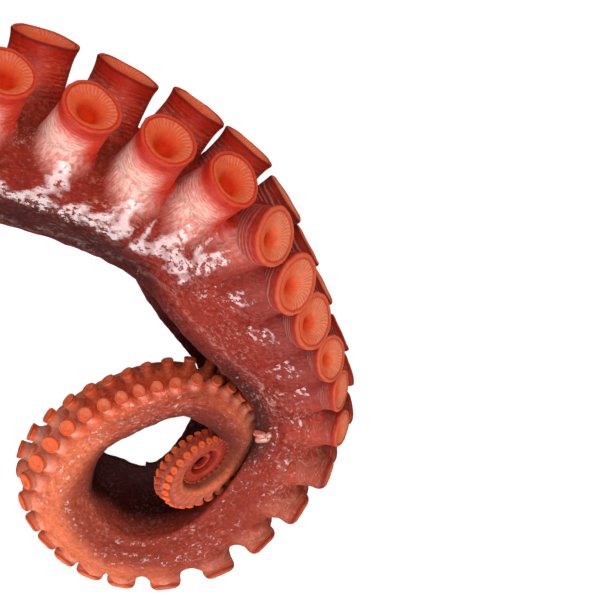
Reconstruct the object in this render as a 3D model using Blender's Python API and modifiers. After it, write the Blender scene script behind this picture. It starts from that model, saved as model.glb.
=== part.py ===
"""A cooked octopus arm, cut off at its root and curled up on its side.

Units are metres with +Z up, and the arm lies on the plane z = 0. Its middle line is
a smooth curve through a few points chosen by hand, followed by a spiral in a tilted
plane. The meat is a loft of unlike sections along that line: round on the side with
the suckers, hollowed along the back, with a low fold on top of the back and a web
that hangs from the back's lower edge. Two rows of turned suckers stand on the outside
of the coil, and everything is one solid.
"""

import math

import bmesh
import bpy
import numpy as np
from mathutils import Matrix, Vector

MM = 0.001  # the lengths and tables below are in millimetres

# The middle line from the cut root to where the tip's spiral starts.
ROUTE = (
    (97.0, -47.7, 20.5),
    (74.2, -45.4, 20.5),
    (50.6, -36.9, 20.0),
    (30.7, -23.5, 17.8),
    (17.4, -1.8, 14.5),
    (5.5, 17.4, 12.8),
    (1.9, 36.0, 11.8),
    (8.0, 53.5, 10.6),
    (19.5, 69.5, 9.6),
    (36.4, 80.6, 9.1),
    (51.3, 79.0, 9.4),
    (60.0, 69.9, 10.0),
    (63.9, 58.6, 10.8),
    (59.4, 42.7, 11.8),
    (44.3, 30.4, 12.8),
    (27.9, 25.9, 14.6),
)
CENTRE = (42.0, 9.0)  # the middle of the finished arm's box, which becomes the origin

# The tip's spiral, in its own tilted plane.
SPIRAL_CENTRE = (26.5, 46.3, 17.5)
SPIRAL_AXIS = (-0.62, 0.27, 0.73)
SPIRAL_START_DEG = 337.0
SPIRAL_RADIUS = 13.8
SPIRAL_SHRINK = 0.78  # per turn, as the power of e
SPIRAL_TURNS = 1.9
SPIRAL_STEPS_PER_TURN = 8
LEAN_FROM, LEAN_TO = 228.0, 264.0  # where the coil's axis leans over to the spiral's
ROLL_DEG = ((0, 0), (70, 0), (95, 8), (140, 8), (180, 2), (215, 0))  # turns the belly up

# Back-to-belly thickness by the distance along the arm, and width as a share of it.
DEPTH = ((0, 23), (45, 21.5), (75, 22.5), (100, 22), (120, 19), (134, 17.5), (150, 17.5),
         (180, 15.5), (200, 17), (220, 18.2), (240, 17.5), (262, 15.2), (282, 14.5),
         (298, 12.4), (310, 9.4), (330, 6.8), (360, 4.2), (400, 1.2))
WIDTH_SHARE = ((0, 1.36), (45, 1.42), (75, 1.35), (110, 1.2), (150, 1.08), (400, 1.08))
ROUNDNESS = 2.2  # 2 makes an ellipse, and more makes it squarer

# Angles around a section run from the belly (0) over the top side (90) to the back (180).
SECTION_DEG = (0, 28, 56, 84, 108, 126, 138, 150, 170, 190, 204, 211, 216, 221, 229, 252, 278, 306, 333)
FOLD_AT_DEG, FOLD_HALF_DEG = 138.0, 16.0
FOLD = ((0, 1.5), (30, 2.0), (120, 2.5), (200, 1.2), (250, 0.0))
HOLLOW_AT_DEG, HOLLOW_HALF_DEG = 178.0, 36.0
HOLLOW_SHARE = ((0, 0.20), (60, 0.22), (150, 0.22), (230, 0.12), (290, 0.0))
WEB_AT_DEG, WEB_HALF_DEG = 216.0, 14.0
WEB = ((0, 14.5), (60, 14), (80, 13), (100, 17), (137, 20), (165, 18), (190, 15), (206, 13),
       (228, 8), (250, 3), (272, 0))
WEB_DROOP_DEG = ((0, 0), (75, 4), (110, 18), (250, 20))
WEB_CLEARANCE, WEB_THICKNESS = 0.8, 1.8  # the web's height above the ground, and its own

# Suckers: two rows, spread to both sides of the belly.
ROW_SPREAD_DEG = 23.0
FIRST_SUCKER, LAST_SUCKER = 11.0, 340.0
FAR_ROW_SHIFT = 0.39  # of the pitch
PITCH = ((11, 15), (26, 15), (41, 14), (55, 13.3), (68, 11), (79, 13), (92, 15), (107, 12),
         (119, 9), (128, 9), (137, 11), (148, 14), (176, 14), (190, 11), (201, 9), (210, 5.5),
         (226, 5.7), (240, 6.6), (262, 6.4), (277, 6), (284, 4.5), (297, 3.4), (320, 2.8), (345, 2.2))
SUCKER_WIDTH = ((0, 16), (95, 15.8), (110, 13.5), (122, 11), (140, 9.4), (176, 9.2),
                (190, 8.4), (201, 7.2), (210, 6.2), (250, 5.1), (275, 4), (292, 3), (310, 2.1), (345, 1.4))
SUCKER_HEIGHT_SHARE = ((0, 1.1), (50, 1.08), (83, 0.92), (105, 0.78), (136, 0.66), (206, 0.66),
                       (342, 0.8))
# Profiles as shares of the sucker's radius and height, from the cup's middle to the root.
FULL_PROFILE = ((0, 0.72), (0.50, 0.80), (0.92, 1.0), (1.0, 0.92), (0.90, 0.55), (1.14, -0.42),
                (0, -0.42))
PLAIN_PROFILE = ((0, 0.82), (0.94, 1.0), (0.88, 0.5), (1.05, -0.45), (0, -0.45))
STUB_PROFILE = ((0, 0.85), (0.96, 1.0), (1.0, -0.6), (0, -0.6))
SUCKER_KINDS = (  # the smallest width that each profile is for, and its number of sides
    (8.0, "full", FULL_PROFILE, 10),
    (3.6, "plain", PLAIN_PROFILE, 8),
    (0.0, "stub", STUB_PROFILE, 5),
)

# Rings of the loft lie further apart where the arm is thicker.
RING_STEP, RING_STEP_SHARE = 1.2, 0.22

COLLECTION = "octopus_arm_part"
CUTTERS = "cutters"
NODE = "octopus_arm"
SKIN_COLOUR = (0.30, 0.055, 0.035, 1.0)
SKIN_ROUGHNESS = 0.35


def read_table(table, where):
    """The table's values at the places, on straight lines between its entries."""
    places, values = zip(*table)
    return np.interp(where, places, values)


def smoothstep(start, end, where):
    """0 before start and 1 after end, with a smooth rise between."""
    share = np.clip((where - start) / (end - start), 0.0, 1.0)
    return share * share * (3.0 - 2.0 * share)


def bump(angles, middle, half):
    """A smooth bump of height 1 around the middle angle, 0 beyond half its width."""
    share = np.clip(np.abs(angles - middle) / half, 0.0, 1.0)
    return np.cos(share * math.pi / 2.0) ** 2


def unit(vector):
    return np.asarray(vector, float) / np.linalg.norm(vector)


def spiral_points():
    """Points of the tip's spiral, turning clockwise seen along its axis from above."""
    axis = unit(SPIRAL_AXIS)
    level = unit(np.cross((0.0, 0.0, 1.0), axis))
    rising = np.cross(axis, level)
    count = round(SPIRAL_TURNS * SPIRAL_STEPS_PER_TURN)
    turns = np.arange(count + 1) / SPIRAL_STEPS_PER_TURN
    angles = math.radians(SPIRAL_START_DEG) - turns * 2.0 * math.pi
    radii = SPIRAL_RADIUS * np.exp(-SPIRAL_SHRINK * turns)
    across = np.outer(radii * np.cos(angles), level) + np.outer(radii * np.sin(angles), rising)
    return np.asarray(SPIRAL_CENTRE) + across


def natural_spline(knots, points, where):
    """The natural cubic spline through the points, read at the places."""
    gaps = np.diff(knots)
    count = len(knots)
    system = np.eye(count)
    right = np.zeros_like(points)
    for i in range(1, count - 1):
        system[i, i - 1 : i + 2] = gaps[i - 1], 2.0 * (gaps[i - 1] + gaps[i]), gaps[i]
        slopes = (points[i + 1] - points[i]) / gaps[i] - (points[i] - points[i - 1]) / gaps[i - 1]
        right[i] = 6.0 * slopes
    bends = np.linalg.solve(system, right)
    span = np.clip(np.searchsorted(knots, where) - 1, 0, count - 2)
    gap = gaps[span][:, None]
    a = (knots[span + 1] - where)[:, None] / gap
    b = 1.0 - a
    curved = ((a**3 - a) * bends[span] + (b**3 - b) * bends[span + 1]) * gap**2 / 6.0
    return a * points[span] + b * points[span + 1] + curved


class MiddleLine:
    """The arm's middle line with a frame of axes that follows the coil."""

    SAMPLES = 4000

    def __init__(self):
        points = np.vstack([np.asarray(ROUTE), spiral_points()])
        points[:, :2] -= CENTRE
        knots = np.r_[0.0, np.cumsum(np.linalg.norm(np.diff(points, axis=0), axis=1))]
        self.points = natural_spline(knots, points, np.linspace(0.0, knots[-1], self.SAMPLES))
        steps = np.linalg.norm(np.diff(self.points, axis=0), axis=1)
        self.along = np.r_[0.0, np.cumsum(steps)]
        self.length = self.along[-1]

    def at(self, where):
        return np.array([np.interp(where, self.along, column) for column in self.points.T])

    def frame(self, where, reach=0.3):
        """The point there, and the axes along the arm, out of the coil and up."""
        ahead = self.at(min(where + reach, self.length))
        behind = self.at(max(where - reach, 0.0))
        forward = unit(ahead - behind)
        lean = smoothstep(LEAN_FROM, LEAN_TO, where)
        coil_axis = (1.0 - lean) * np.array((0.0, 0.0, 1.0)) + lean * unit(SPIRAL_AXIS)
        level = unit(np.cross(coil_axis, forward))
        steep = np.cross(forward, level)
        roll = math.radians(read_table(ROLL_DEG, where))
        outward = math.cos(roll) * level + math.sin(roll) * steep
        upward = math.cos(roll) * steep - math.sin(roll) * level
        return self.at(where), forward, outward, upward


def half_sizes(where):
    """Half the thickness out of the coil, and half the width across it."""
    half_depth = read_table(DEPTH, where) / 2.0
    return half_depth, half_depth * read_table(WIDTH_SHARE, where)


def section(line, where):
    """The points around the meat at one place along the arm."""
    middle, _, outward, upward = line.frame(where)
    half_depth, half_width = half_sizes(where)
    angles = np.asarray(SECTION_DEG, float)
    cosines, sines = np.cos(np.radians(angles)), np.sin(np.radians(angles))
    power = 2.0 / ROUNDNESS
    out = half_depth * np.sign(cosines) * np.abs(cosines) ** power
    up = half_width * np.sign(sines) * np.abs(sines) ** power
    hollow = read_table(HOLLOW_SHARE, where) * bump(angles, HOLLOW_AT_DEG, HOLLOW_HALF_DEG)
    fold = read_table(FOLD, where) * bump(angles, FOLD_AT_DEG, FOLD_HALF_DEG)
    web = read_table(WEB, where) * bump(angles, WEB_AT_DEG, WEB_HALF_DEG)
    droop = math.radians(read_table(WEB_DROOP_DEG, where))
    out = out * (1.0 - hollow) + fold * np.cos(np.radians(FOLD_AT_DEG)) - web * math.cos(droop)
    up = up + fold * np.sin(np.radians(FOLD_AT_DEG)) - web * math.sin(droop)
    points = middle + np.outer(out, outward) + np.outer(up, upward)
    lowest = np.where(angles < WEB_AT_DEG, WEB_CLEARANCE + WEB_THICKNESS, WEB_CLEARANCE)
    lowest = lowest + WEB_THICKNESS / 2.0 * (angles == WEB_AT_DEG)
    points[web > 0.0, 2] = np.maximum(points[web > 0.0, 2], lowest[web > 0.0])
    return points


def ring_places(length):
    """Where the loft's rings lie, from the root to the tip."""
    places = [0.0]
    while places[-1] < length:
        step = RING_STEP + RING_STEP_SHARE * read_table(DEPTH, places[-1])
        places.append(places[-1] + step)
    return np.asarray(places) * length / places[-1]


def coloured_material(name, colour, roughness):
    material = bpy.data.materials.new(name)
    material.use_nodes = True
    shader = material.node_tree.nodes["Principled BSDF"]
    shader.inputs["Base Color"].default_value = colour
    shader.inputs["Roughness"].default_value = roughness
    shader.inputs["Metallic"].default_value = 0.0
    return material


def new_object(name, mesh, collection):
    made = bpy.data.objects.new(name, mesh)
    collection.objects.link(made)
    return made


def loft(name, rings):
    """A closed mesh through rings of equally many points, with flat ends."""
    mesh = bpy.data.meshes.new(name)
    build = bmesh.new()
    loops = [[build.verts.new(Vector(point) * MM) for point in ring] for ring in rings]
    for near, far in zip(loops, loops[1:]):
        for i, corner in enumerate(near):
            after = (i + 1) % len(near)
            build.faces.new((corner, near[after], far[after], far[i]))
    build.faces.new(loops[0])
    build.faces.new(loops[-1])
    bmesh.ops.recalc_face_normals(build, faces=build.faces)
    build.to_mesh(mesh)
    build.free()
    return mesh


def turned_mesh(name, profile):
    """The profile as a line of edges, which a Screw modifier turns."""
    mesh = bpy.data.meshes.new(name)
    build = bmesh.new()
    corners = [build.verts.new((radius, 0.0, height)) for radius, height in profile]
    for start, end in zip(corners, corners[1:]):
        build.edges.new((start, end))
    build.to_mesh(mesh)
    build.free()
    return mesh


def turn(piece, sides):
    screw = piece.modifiers.new("turn", "SCREW")
    screw.axis = "Z"
    screw.steps = sides
    screw.render_steps = sides
    screw.use_merge_vertices = True
    screw.merge_threshold = 0.0001


def sucker_places():
    """The distances along the arm of both rows, as (side, place), the upper side being 1."""
    places = []
    where = FIRST_SUCKER
    while where < LAST_SUCKER:
        pitch = read_table(PITCH, where)
        places.append((1, where))
        places.append((-1, where + FAR_ROW_SHIFT * pitch))
        where += pitch
    return places


def sucker_matrix(line, side, where):
    """Stands a sucker of radius 1 and height 1 on the belly at its real size."""
    middle, forward, outward, upward = line.frame(where)
    half_depth, half_width = half_sizes(where)
    spread = math.radians(ROW_SPREAD_DEG)
    foot = middle + math.cos(spread) * half_depth * outward
    foot = foot + side * math.sin(spread) * half_width * upward
    axis = unit(math.cos(spread) * outward + side * math.sin(spread) * upward)
    across = np.cross(axis, forward)
    width = read_table(SUCKER_WIDTH, where)
    height = width * read_table(SUCKER_HEIGHT_SHARE, where)
    turned = Matrix((forward, across, axis)).transposed().to_4x4()
    sizes = Matrix.Diagonal((width / 2.0 * MM, width / 2.0 * MM, height * MM, 1.0))
    return Matrix.Translation(Vector(foot) * MM) @ turned @ sizes


def add_suckers(line, collection):
    meshes = {kind: turned_mesh(kind, profile) for _, kind, profile, _ in SUCKER_KINDS}
    for number, (side, where) in enumerate(sucker_places()):
        width = read_table(SUCKER_WIDTH, where)
        _, kind, _, sides = next(entry for entry in SUCKER_KINDS if width >= entry[0])
        sucker = new_object(f"sucker_{number:03d}", meshes[kind], collection)
        sucker.matrix_world = sucker_matrix(line, side, where)
        turn(sucker, sides)
        hide_cutter(sucker)


def hide_cutter(cutter):
    cutter.hide_render = True
    cutter.display_type = "WIRE"


def add_ground(collection, size=0.4):
    """A block below z = 0 that flattens whatever would reach into the ground."""
    mesh = bpy.data.meshes.new("ground")
    build = bmesh.new()
    placed = Matrix.Translation((0.0, 0.0, -size / 2.0)) @ Matrix.Scale(size, 4)
    bmesh.ops.create_cube(build, size=1.0, matrix=placed)
    build.to_mesh(mesh)
    build.free()
    ground = new_object("ground", mesh, collection)
    hide_cutter(ground)
    return ground


def add_arm(line, suckers, ground, collection):
    rings = [section(line, where) for where in ring_places(line.length)]
    arm = new_object(NODE, loft(NODE, rings), collection)
    union = arm.modifiers.new("suckers", "BOOLEAN")
    union.operation = "UNION"
    union.solver = "EXACT"
    union.operand_type = "COLLECTION"
    union.collection = suckers
    flatten = arm.modifiers.new("flat underside", "BOOLEAN")
    flatten.operation = "DIFFERENCE"
    flatten.solver = "EXACT"
    flatten.object = ground
    arm.data.materials.append(coloured_material("cooked_skin", SKIN_COLOUR, SKIN_ROUGHNESS))
    arm.data.shade_smooth()
    arm.data.set_sharp_from_angle(angle=math.radians(40.0))
    return arm


def main():
    for old in list(bpy.data.objects):
        bpy.data.objects.remove(old, do_unlink=True)
    scene = bpy.context.scene
    parts = bpy.data.collections.new(COLLECTION)
    cutters = bpy.data.collections.new(CUTTERS)
    suckers = bpy.data.collections.new("suckers")
    scene.collection.children.link(parts)
    scene.collection.children.link(cutters)
    cutters.children.link(suckers)
    line = MiddleLine()
    add_suckers(line, suckers)
    add_arm(line, suckers, add_ground(cutters), parts)


main()
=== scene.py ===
"""A cooked octopus arm, cut off at its root and lying curled on its side.

The arm's middle line runs from the cut root to the tip, and every place on the arm is
named by its distance along that line and its angle around it: the belly with the
suckers is 0 degrees, the side that faces up is 90, and the back is 180. Lengths in the
tables are millimetres, and meshes are built in metres.
"""

import logging
import math
from dataclasses import dataclass, field
from enum import Enum

import bpy
import numpy as np
from mathutils import Matrix, Vector


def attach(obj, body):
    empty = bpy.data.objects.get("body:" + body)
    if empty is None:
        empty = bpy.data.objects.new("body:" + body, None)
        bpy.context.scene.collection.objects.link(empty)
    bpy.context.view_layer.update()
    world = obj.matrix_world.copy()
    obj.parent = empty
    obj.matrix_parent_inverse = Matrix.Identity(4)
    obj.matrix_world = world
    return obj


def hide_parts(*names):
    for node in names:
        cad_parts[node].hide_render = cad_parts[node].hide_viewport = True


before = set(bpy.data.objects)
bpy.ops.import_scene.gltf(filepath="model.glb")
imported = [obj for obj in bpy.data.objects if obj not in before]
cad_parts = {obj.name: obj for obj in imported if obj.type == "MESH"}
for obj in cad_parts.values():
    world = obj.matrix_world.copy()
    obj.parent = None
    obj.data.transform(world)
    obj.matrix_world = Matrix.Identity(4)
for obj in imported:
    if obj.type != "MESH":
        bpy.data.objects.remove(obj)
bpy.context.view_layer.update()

LOG = logging.getLogger("octopus_arm")
MM = 0.001
BODY = "root"
CAD_NODE = "octopus_arm"
Colour = tuple[float, float, float]

# The middle line from the cut root to where the tip's spiral starts.
ROUTE = (
    (97.0, -47.7, 20.5),
    (74.2, -45.4, 20.5),
    (50.6, -36.9, 20.0),
    (30.7, -23.5, 17.8),
    (17.4, -1.8, 14.5),
    (5.5, 17.4, 12.8),
    (1.9, 36.0, 11.8),
    (8.0, 53.5, 10.6),
    (19.5, 69.5, 9.6),
    (36.4, 80.6, 9.1),
    (51.3, 79.0, 9.4),
    (60.0, 69.9, 10.0),
    (63.9, 58.6, 10.8),
    (59.4, 42.7, 11.8),
    (44.3, 30.4, 12.8),
    (27.9, 25.9, 14.6),
)
CENTRE = (42.0, 9.0)  # the middle of the finished arm's box, which is the origin


def unit_rows(vectors: np.ndarray) -> np.ndarray:
    """Scale each row to length 1."""
    return vectors / np.linalg.norm(vectors, axis=-1, keepdims=True)


def smoothstep(start: float, end: float, where: np.ndarray | float) -> np.ndarray:
    """Rise smoothly from 0 before start to 1 after end."""
    share = np.clip((np.asarray(where, float) - start) / (end - start), 0.0, 1.0)
    return share * share * (3.0 - 2.0 * share)


def bump(values: np.ndarray, middle: float, half: float) -> np.ndarray:
    """Give a smooth hump of height 1 round the middle, 0 beyond half its width."""
    share = np.clip(np.abs(values - middle) / half, 0.0, 1.0)
    return np.cos(share * math.pi / 2.0) ** 2


def to_linear(red: int, green: int, blue: int) -> Colour:
    """Turn a screen colour from 0 to 255 into the linear values that shaders take."""
    shares = (np.array((red, green, blue), float) / 255.0 + 0.055) / 1.055
    return tuple(float(value) for value in shares**2.4)


class Table:
    """Values by the distance along the arm, with the corners between them rounded."""

    STEP = 0.5
    ROUND_OVER = 5.0
    END = 420.0

    def __init__(self, *entries: tuple[float, float]) -> None:
        """Store the entries.

        Args:
            entries: pairs of the distance in millimetres and the value there.
        """
        places, values = zip(*entries)
        reach = int(self.ROUND_OVER / self.STEP)
        self.places = np.arange(0.0, self.END, self.STEP)
        straight = np.interp(self.places, places, values)
        weights = np.hanning(2 * reach + 3)[1:-1]
        padded = np.pad(straight, reach, mode="edge")
        self.values = np.convolve(padded, weights / weights.sum(), mode="valid")

    def at(self, where: np.ndarray | float) -> np.ndarray:
        """Read the values at the places."""
        return np.interp(where, self.places, self.values)


class Lumps:
    """Smooth, seeded unevenness in space, made of waves in many directions."""

    WAVES = 28

    def __init__(self, size: float, seed: int) -> None:
        """Choose the waves.

        Args:
            size: the usual distance between lumps, in the points' own unit.
            seed: starts the random draws.
        """
        draws = np.random.default_rng(seed)
        lengths = size * draws.uniform(0.7, 1.6, self.WAVES)
        self.waves = unit_rows(draws.normal(size=(self.WAVES, 3))) * 2.0 * math.pi / lengths[:, None]
        self.shifts = draws.uniform(0.0, 2.0 * math.pi, self.WAVES)

    def at(self, points: np.ndarray) -> np.ndarray:
        """Read the unevenness, mostly from -1 to 1, at the points."""
        phases = points @ self.waves.T + self.shifts
        return np.sin(phases).sum(axis=-1) * math.sqrt(2.0 / self.WAVES) * 0.6


@dataclass(frozen=True)
class Frames:
    """Places on the middle line, with the axes along the arm, out of the coil and up."""

    middle: np.ndarray
    forward: np.ndarray
    outward: np.ndarray
    upward: np.ndarray


class MiddleLine:
    """The arm's middle line: a smooth curve through the route and the tip's spiral."""

    SAMPLES = 4000
    REACH = 0.3
    SPIRAL_CENTRE = (26.5, 46.3, 17.5)
    SPIRAL_AXIS = (-0.62, 0.27, 0.73)
    SPIRAL_START_DEG = 337.0
    SPIRAL_RADIUS = 13.8
    SPIRAL_SHRINK = 0.78
    SPIRAL_TURNS = 2.5
    STEPS_PER_TURN = 8
    LEAN_FROM, LEAN_TO = 228.0, 264.0
    ROLL_DEG = Table((0, 0), (70, 0), (95, 8), (140, 8), (180, 2), (215, 0))

    def __init__(self) -> None:
        """Lay the curve and measure it."""
        points = np.vstack([np.asarray(ROUTE), self.spiral()])
        points[:, :2] -= CENTRE
        knots = np.r_[0.0, np.cumsum(np.linalg.norm(np.diff(points, axis=0), axis=1))]
        self.points = self.natural_spline(knots, points, np.linspace(0.0, knots[-1], self.SAMPLES))
        steps = np.linalg.norm(np.diff(self.points, axis=0), axis=1)
        self.along = np.r_[0.0, np.cumsum(steps)]
        self.length = float(self.along[-1])

    def spiral(self) -> np.ndarray:
        """Give the points of the tip's spiral, in its own tilted plane."""
        axis = unit_rows(np.array(self.SPIRAL_AXIS))
        level = unit_rows(np.cross((0.0, 0.0, 1.0), axis))
        rising = np.cross(axis, level)
        turns = np.arange(round(self.SPIRAL_TURNS * self.STEPS_PER_TURN) + 1) / self.STEPS_PER_TURN
        angles = math.radians(self.SPIRAL_START_DEG) - turns * 2.0 * math.pi
        radii = self.SPIRAL_RADIUS * np.exp(-self.SPIRAL_SHRINK * turns)
        across = np.outer(radii * np.cos(angles), level) + np.outer(radii * np.sin(angles), rising)
        return np.asarray(self.SPIRAL_CENTRE) + across

    @staticmethod
    def natural_spline(knots: np.ndarray, points: np.ndarray, where: np.ndarray) -> np.ndarray:
        """Read the natural cubic spline through the points.

        Args:
            knots: the spline's parameter at each point.
            points: one point a row.
            where: the parameters to read it at.

        Returns:
            One point of the curve a row.
        """
        gaps = np.diff(knots)
        count = len(knots)
        system = np.eye(count)
        right = np.zeros_like(points)
        for i in range(1, count - 1):
            system[i, i - 1 : i + 2] = gaps[i - 1], 2.0 * (gaps[i - 1] + gaps[i]), gaps[i]
            slopes = (points[i + 1] - points[i]) / gaps[i] - (points[i] - points[i - 1]) / gaps[i - 1]
            right[i] = 6.0 * slopes
        bends = np.linalg.solve(system, right)
        span = np.clip(np.searchsorted(knots, where) - 1, 0, count - 2)
        gap = gaps[span][:, None]
        a = (knots[span + 1] - where)[:, None] / gap
        b = 1.0 - a
        curved = ((a**3 - a) * bends[span] + (b**3 - b) * bends[span + 1]) * gap**2 / 6.0
        return a * points[span] + b * points[span + 1] + curved

    def at(self, where: np.ndarray) -> np.ndarray:
        """Give the middle line's points at the distances."""
        return np.stack([np.interp(where, self.along, column) for column in self.points.T], axis=-1)

    def frames(self, where: np.ndarray) -> Frames:
        """Give the points and axes at the distances along the arm."""
        where = np.atleast_1d(np.asarray(where, float))
        ahead = self.at(np.minimum(where + self.REACH, self.length))
        behind = self.at(np.maximum(where - self.REACH, 0.0))
        forward = unit_rows(ahead - behind)
        lean = smoothstep(self.LEAN_FROM, self.LEAN_TO, where)[:, None]
        tilted = unit_rows(np.array(self.SPIRAL_AXIS))
        coil_axis = (1.0 - lean) * np.array((0.0, 0.0, 1.0)) + lean * tilted
        level = unit_rows(np.cross(coil_axis, forward))
        steep = np.cross(forward, level)
        roll = np.radians(self.ROLL_DEG.at(where))[:, None]
        outward = np.cos(roll) * level + np.sin(roll) * steep
        upward = np.cos(roll) * steep - np.sin(roll) * level
        return Frames(self.at(where), forward, outward, upward)


@dataclass(frozen=True)
class MeatShape:
    """The unlike sections of the meat along the arm, and the fold and web on its back."""

    depth: Table = Table(
        (0, 23), (45, 21.5), (75, 22.5), (100, 22), (120, 19), (134, 17.5), (150, 17.5), (180, 15.5),
        (200, 17), (220, 18.2), (240, 17.5), (262, 15.2), (282, 14.5), (298, 12.4), (310, 9.6),
        (330, 7.2), (360, 4.6), (380, 2.9), (405, 1.2),
    )
    width_share: Table = Table((0, 1.36), (45, 1.42), (75, 1.35), (110, 1.2), (150, 1.08), (400, 1.08))
    roundness: float = 2.2
    fold: Table = Table((0, 1.5), (30, 2.0), (120, 2.5), (200, 1.2), (250, 0))
    fold_at: float = 138.0
    fold_half: float = 16.0
    hollow: Table = Table((0, 0.20), (60, 0.22), (150, 0.22), (230, 0.12), (290, 0))
    hollow_at: float = 178.0
    hollow_half: float = 36.0
    web: Table = Table(
        (0, 14.5), (60, 14), (80, 13), (100, 17), (137, 20), (165, 18), (190, 16), (206, 16.5),
        (222, 14.5), (232, 10), (250, 3), (272, 0),
    )
    web_at: float = 216.0
    web_half: float = 14.0
    web_droop_deg: Table = Table((0, 0), (75, 4), (110, 18), (250, 20))
    belly_drop: Table = Table((0, 0), (236, 0), (256, 1.5), (284, 1.7), (300, 1.3), (330, 0.7), (384, 0.3))
    sunk_at: float = -42.0
    clearance: float = 0.8
    web_thickness: float = 1.8

    def half_sizes(self, where: np.ndarray | float) -> tuple[np.ndarray, np.ndarray]:
        """Give half the thickness out of the coil and half the width across it."""
        half_depth = self.depth.at(where) / 2.0
        return half_depth, half_depth * self.width_share.at(where)

    def sections(self, line: MiddleLine, where: np.ndarray, angles: np.ndarray) -> np.ndarray:
        """Give the points around the meat.

        Args:
            line: the middle line.
            where: the distances along the arm, one a ring.
            angles: the angles around it in degrees, the same for every ring.

        Returns:
            The points by ring, angle and axis.
        """
        frames = line.frames(where)
        half_depth, half_width = (size[:, None] for size in self.half_sizes(where))
        cosines, sines = np.cos(np.radians(angles)), np.sin(np.radians(angles))
        power = 2.0 / self.roundness
        hollow = self.hollow.at(where)[:, None] * bump(angles, self.hollow_at, self.hollow_half)
        fold = self.fold.at(where)[:, None] * bump(angles, self.fold_at, self.fold_half)
        web = self.web.at(where)[:, None] * bump(angles, self.web_at, self.web_half)
        droop = np.radians(self.web_droop_deg.at(where))[:, None]
        out = half_depth * np.sign(cosines) * np.abs(cosines) ** power * (1.0 - hollow)
        up = half_width * np.sign(sines) * np.abs(sines) ** power
        turned = (angles + 180.0) % 360.0 - 180.0
        sunk = 0.35 * smoothstep(0.0, 0.7, cosines) + 0.75 * bump(turned, self.sunk_at, 42.0)
        out = out - self.belly_drop.at(where)[:, None] * sunk
        out = out + fold * math.cos(math.radians(self.fold_at)) - web * np.cos(droop)
        up = up + fold * math.sin(math.radians(self.fold_at)) - web * np.sin(droop)
        points = (
            frames.middle[:, None]
            + out[..., None] * frames.outward[:, None]
            + up[..., None] * frames.upward[:, None]
        )
        upper = smoothstep(self.web_at + 4.0, self.web_at - 4.0, angles)
        lowest = self.clearance + self.web_thickness * upper
        in_web = web > 0.0
        lifted = np.maximum(points[..., 2], np.broadcast_to(lowest, in_web.shape))
        points[..., 2] = np.where(in_web, lifted, np.maximum(points[..., 2], 0.05))
        return points


class Row(Enum):
    """The two rows of suckers; the value is the side of the belly that a row stands on."""

    UPPER = 1
    LOWER = -1


@dataclass(frozen=True)
class Station:
    """One ring of a sucker's outline.

    radius is a share of the sucker's radius. height is a share of its height, and drop, a
    share of its radius, is taken off that. zone runs from 0 at the foot over 1 at the
    rim's crest to 2 in the middle of the cup.
    """

    radius: float
    height: float
    drop: float
    zone: float


@dataclass(frozen=True)
class SuckerForm:
    """A turned sucker's outline and how finely it is turned."""

    name: str
    sides: int
    stations: tuple[Station, ...]

    def model(self) -> bpy.types.Object:
        """Turn the form: a ring at the foot, extruded and widened from station to station.

        The rings stand a unit apart here, and each copy gives them its own sizes.

        Returns:
            A closed mesh object with its rings in order from the foot to the cup.
        """
        bpy.ops.mesh.primitive_circle_add(vertices=self.sides, radius=1.0, fill_type="NGON")
        made = bpy.context.active_object
        made.name = self.name
        bpy.ops.object.mode_set(mode="EDIT")
        bpy.ops.mesh.select_all(action="SELECT")
        radius = 1.0
        for station in self.stations[1:]:
            bpy.ops.mesh.extrude_region_move(TRANSFORM_OT_translate={"value": (0.0, 0.0, 1.0)})
            share = station.radius / radius
            bpy.ops.transform.resize(value=(share, share, 1.0))
            radius = station.radius
        bpy.ops.mesh.poke()
        bpy.ops.mesh.select_all(action="SELECT")
        bpy.ops.mesh.normals_make_consistent(inside=False)
        bpy.ops.object.mode_set(mode="OBJECT")
        return made

    def rings(self, count: int) -> np.ndarray:
        """Give each vertex its radius, height, drop and zone.

        Args:
            count: the mesh's number of vertices.

        Returns:
            One row a vertex; the cup's middle point comes last.
        """
        rows = [(ring.radius, ring.height, ring.drop, ring.zone) for ring in self.stations]
        last = self.stations[-1]
        middle = (0.0, last.height, last.drop, 2.0)
        return np.vstack([np.repeat(rows, self.sides, axis=0), np.tile(middle, (count - len(rows) * self.sides, 1))])


def stations(*rows: tuple[float, float, float, float]) -> tuple[Station, ...]:
    """Make the stations of a form from rows of radius, height, drop and zone."""
    return tuple(Station(*row) for row in rows)


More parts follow.
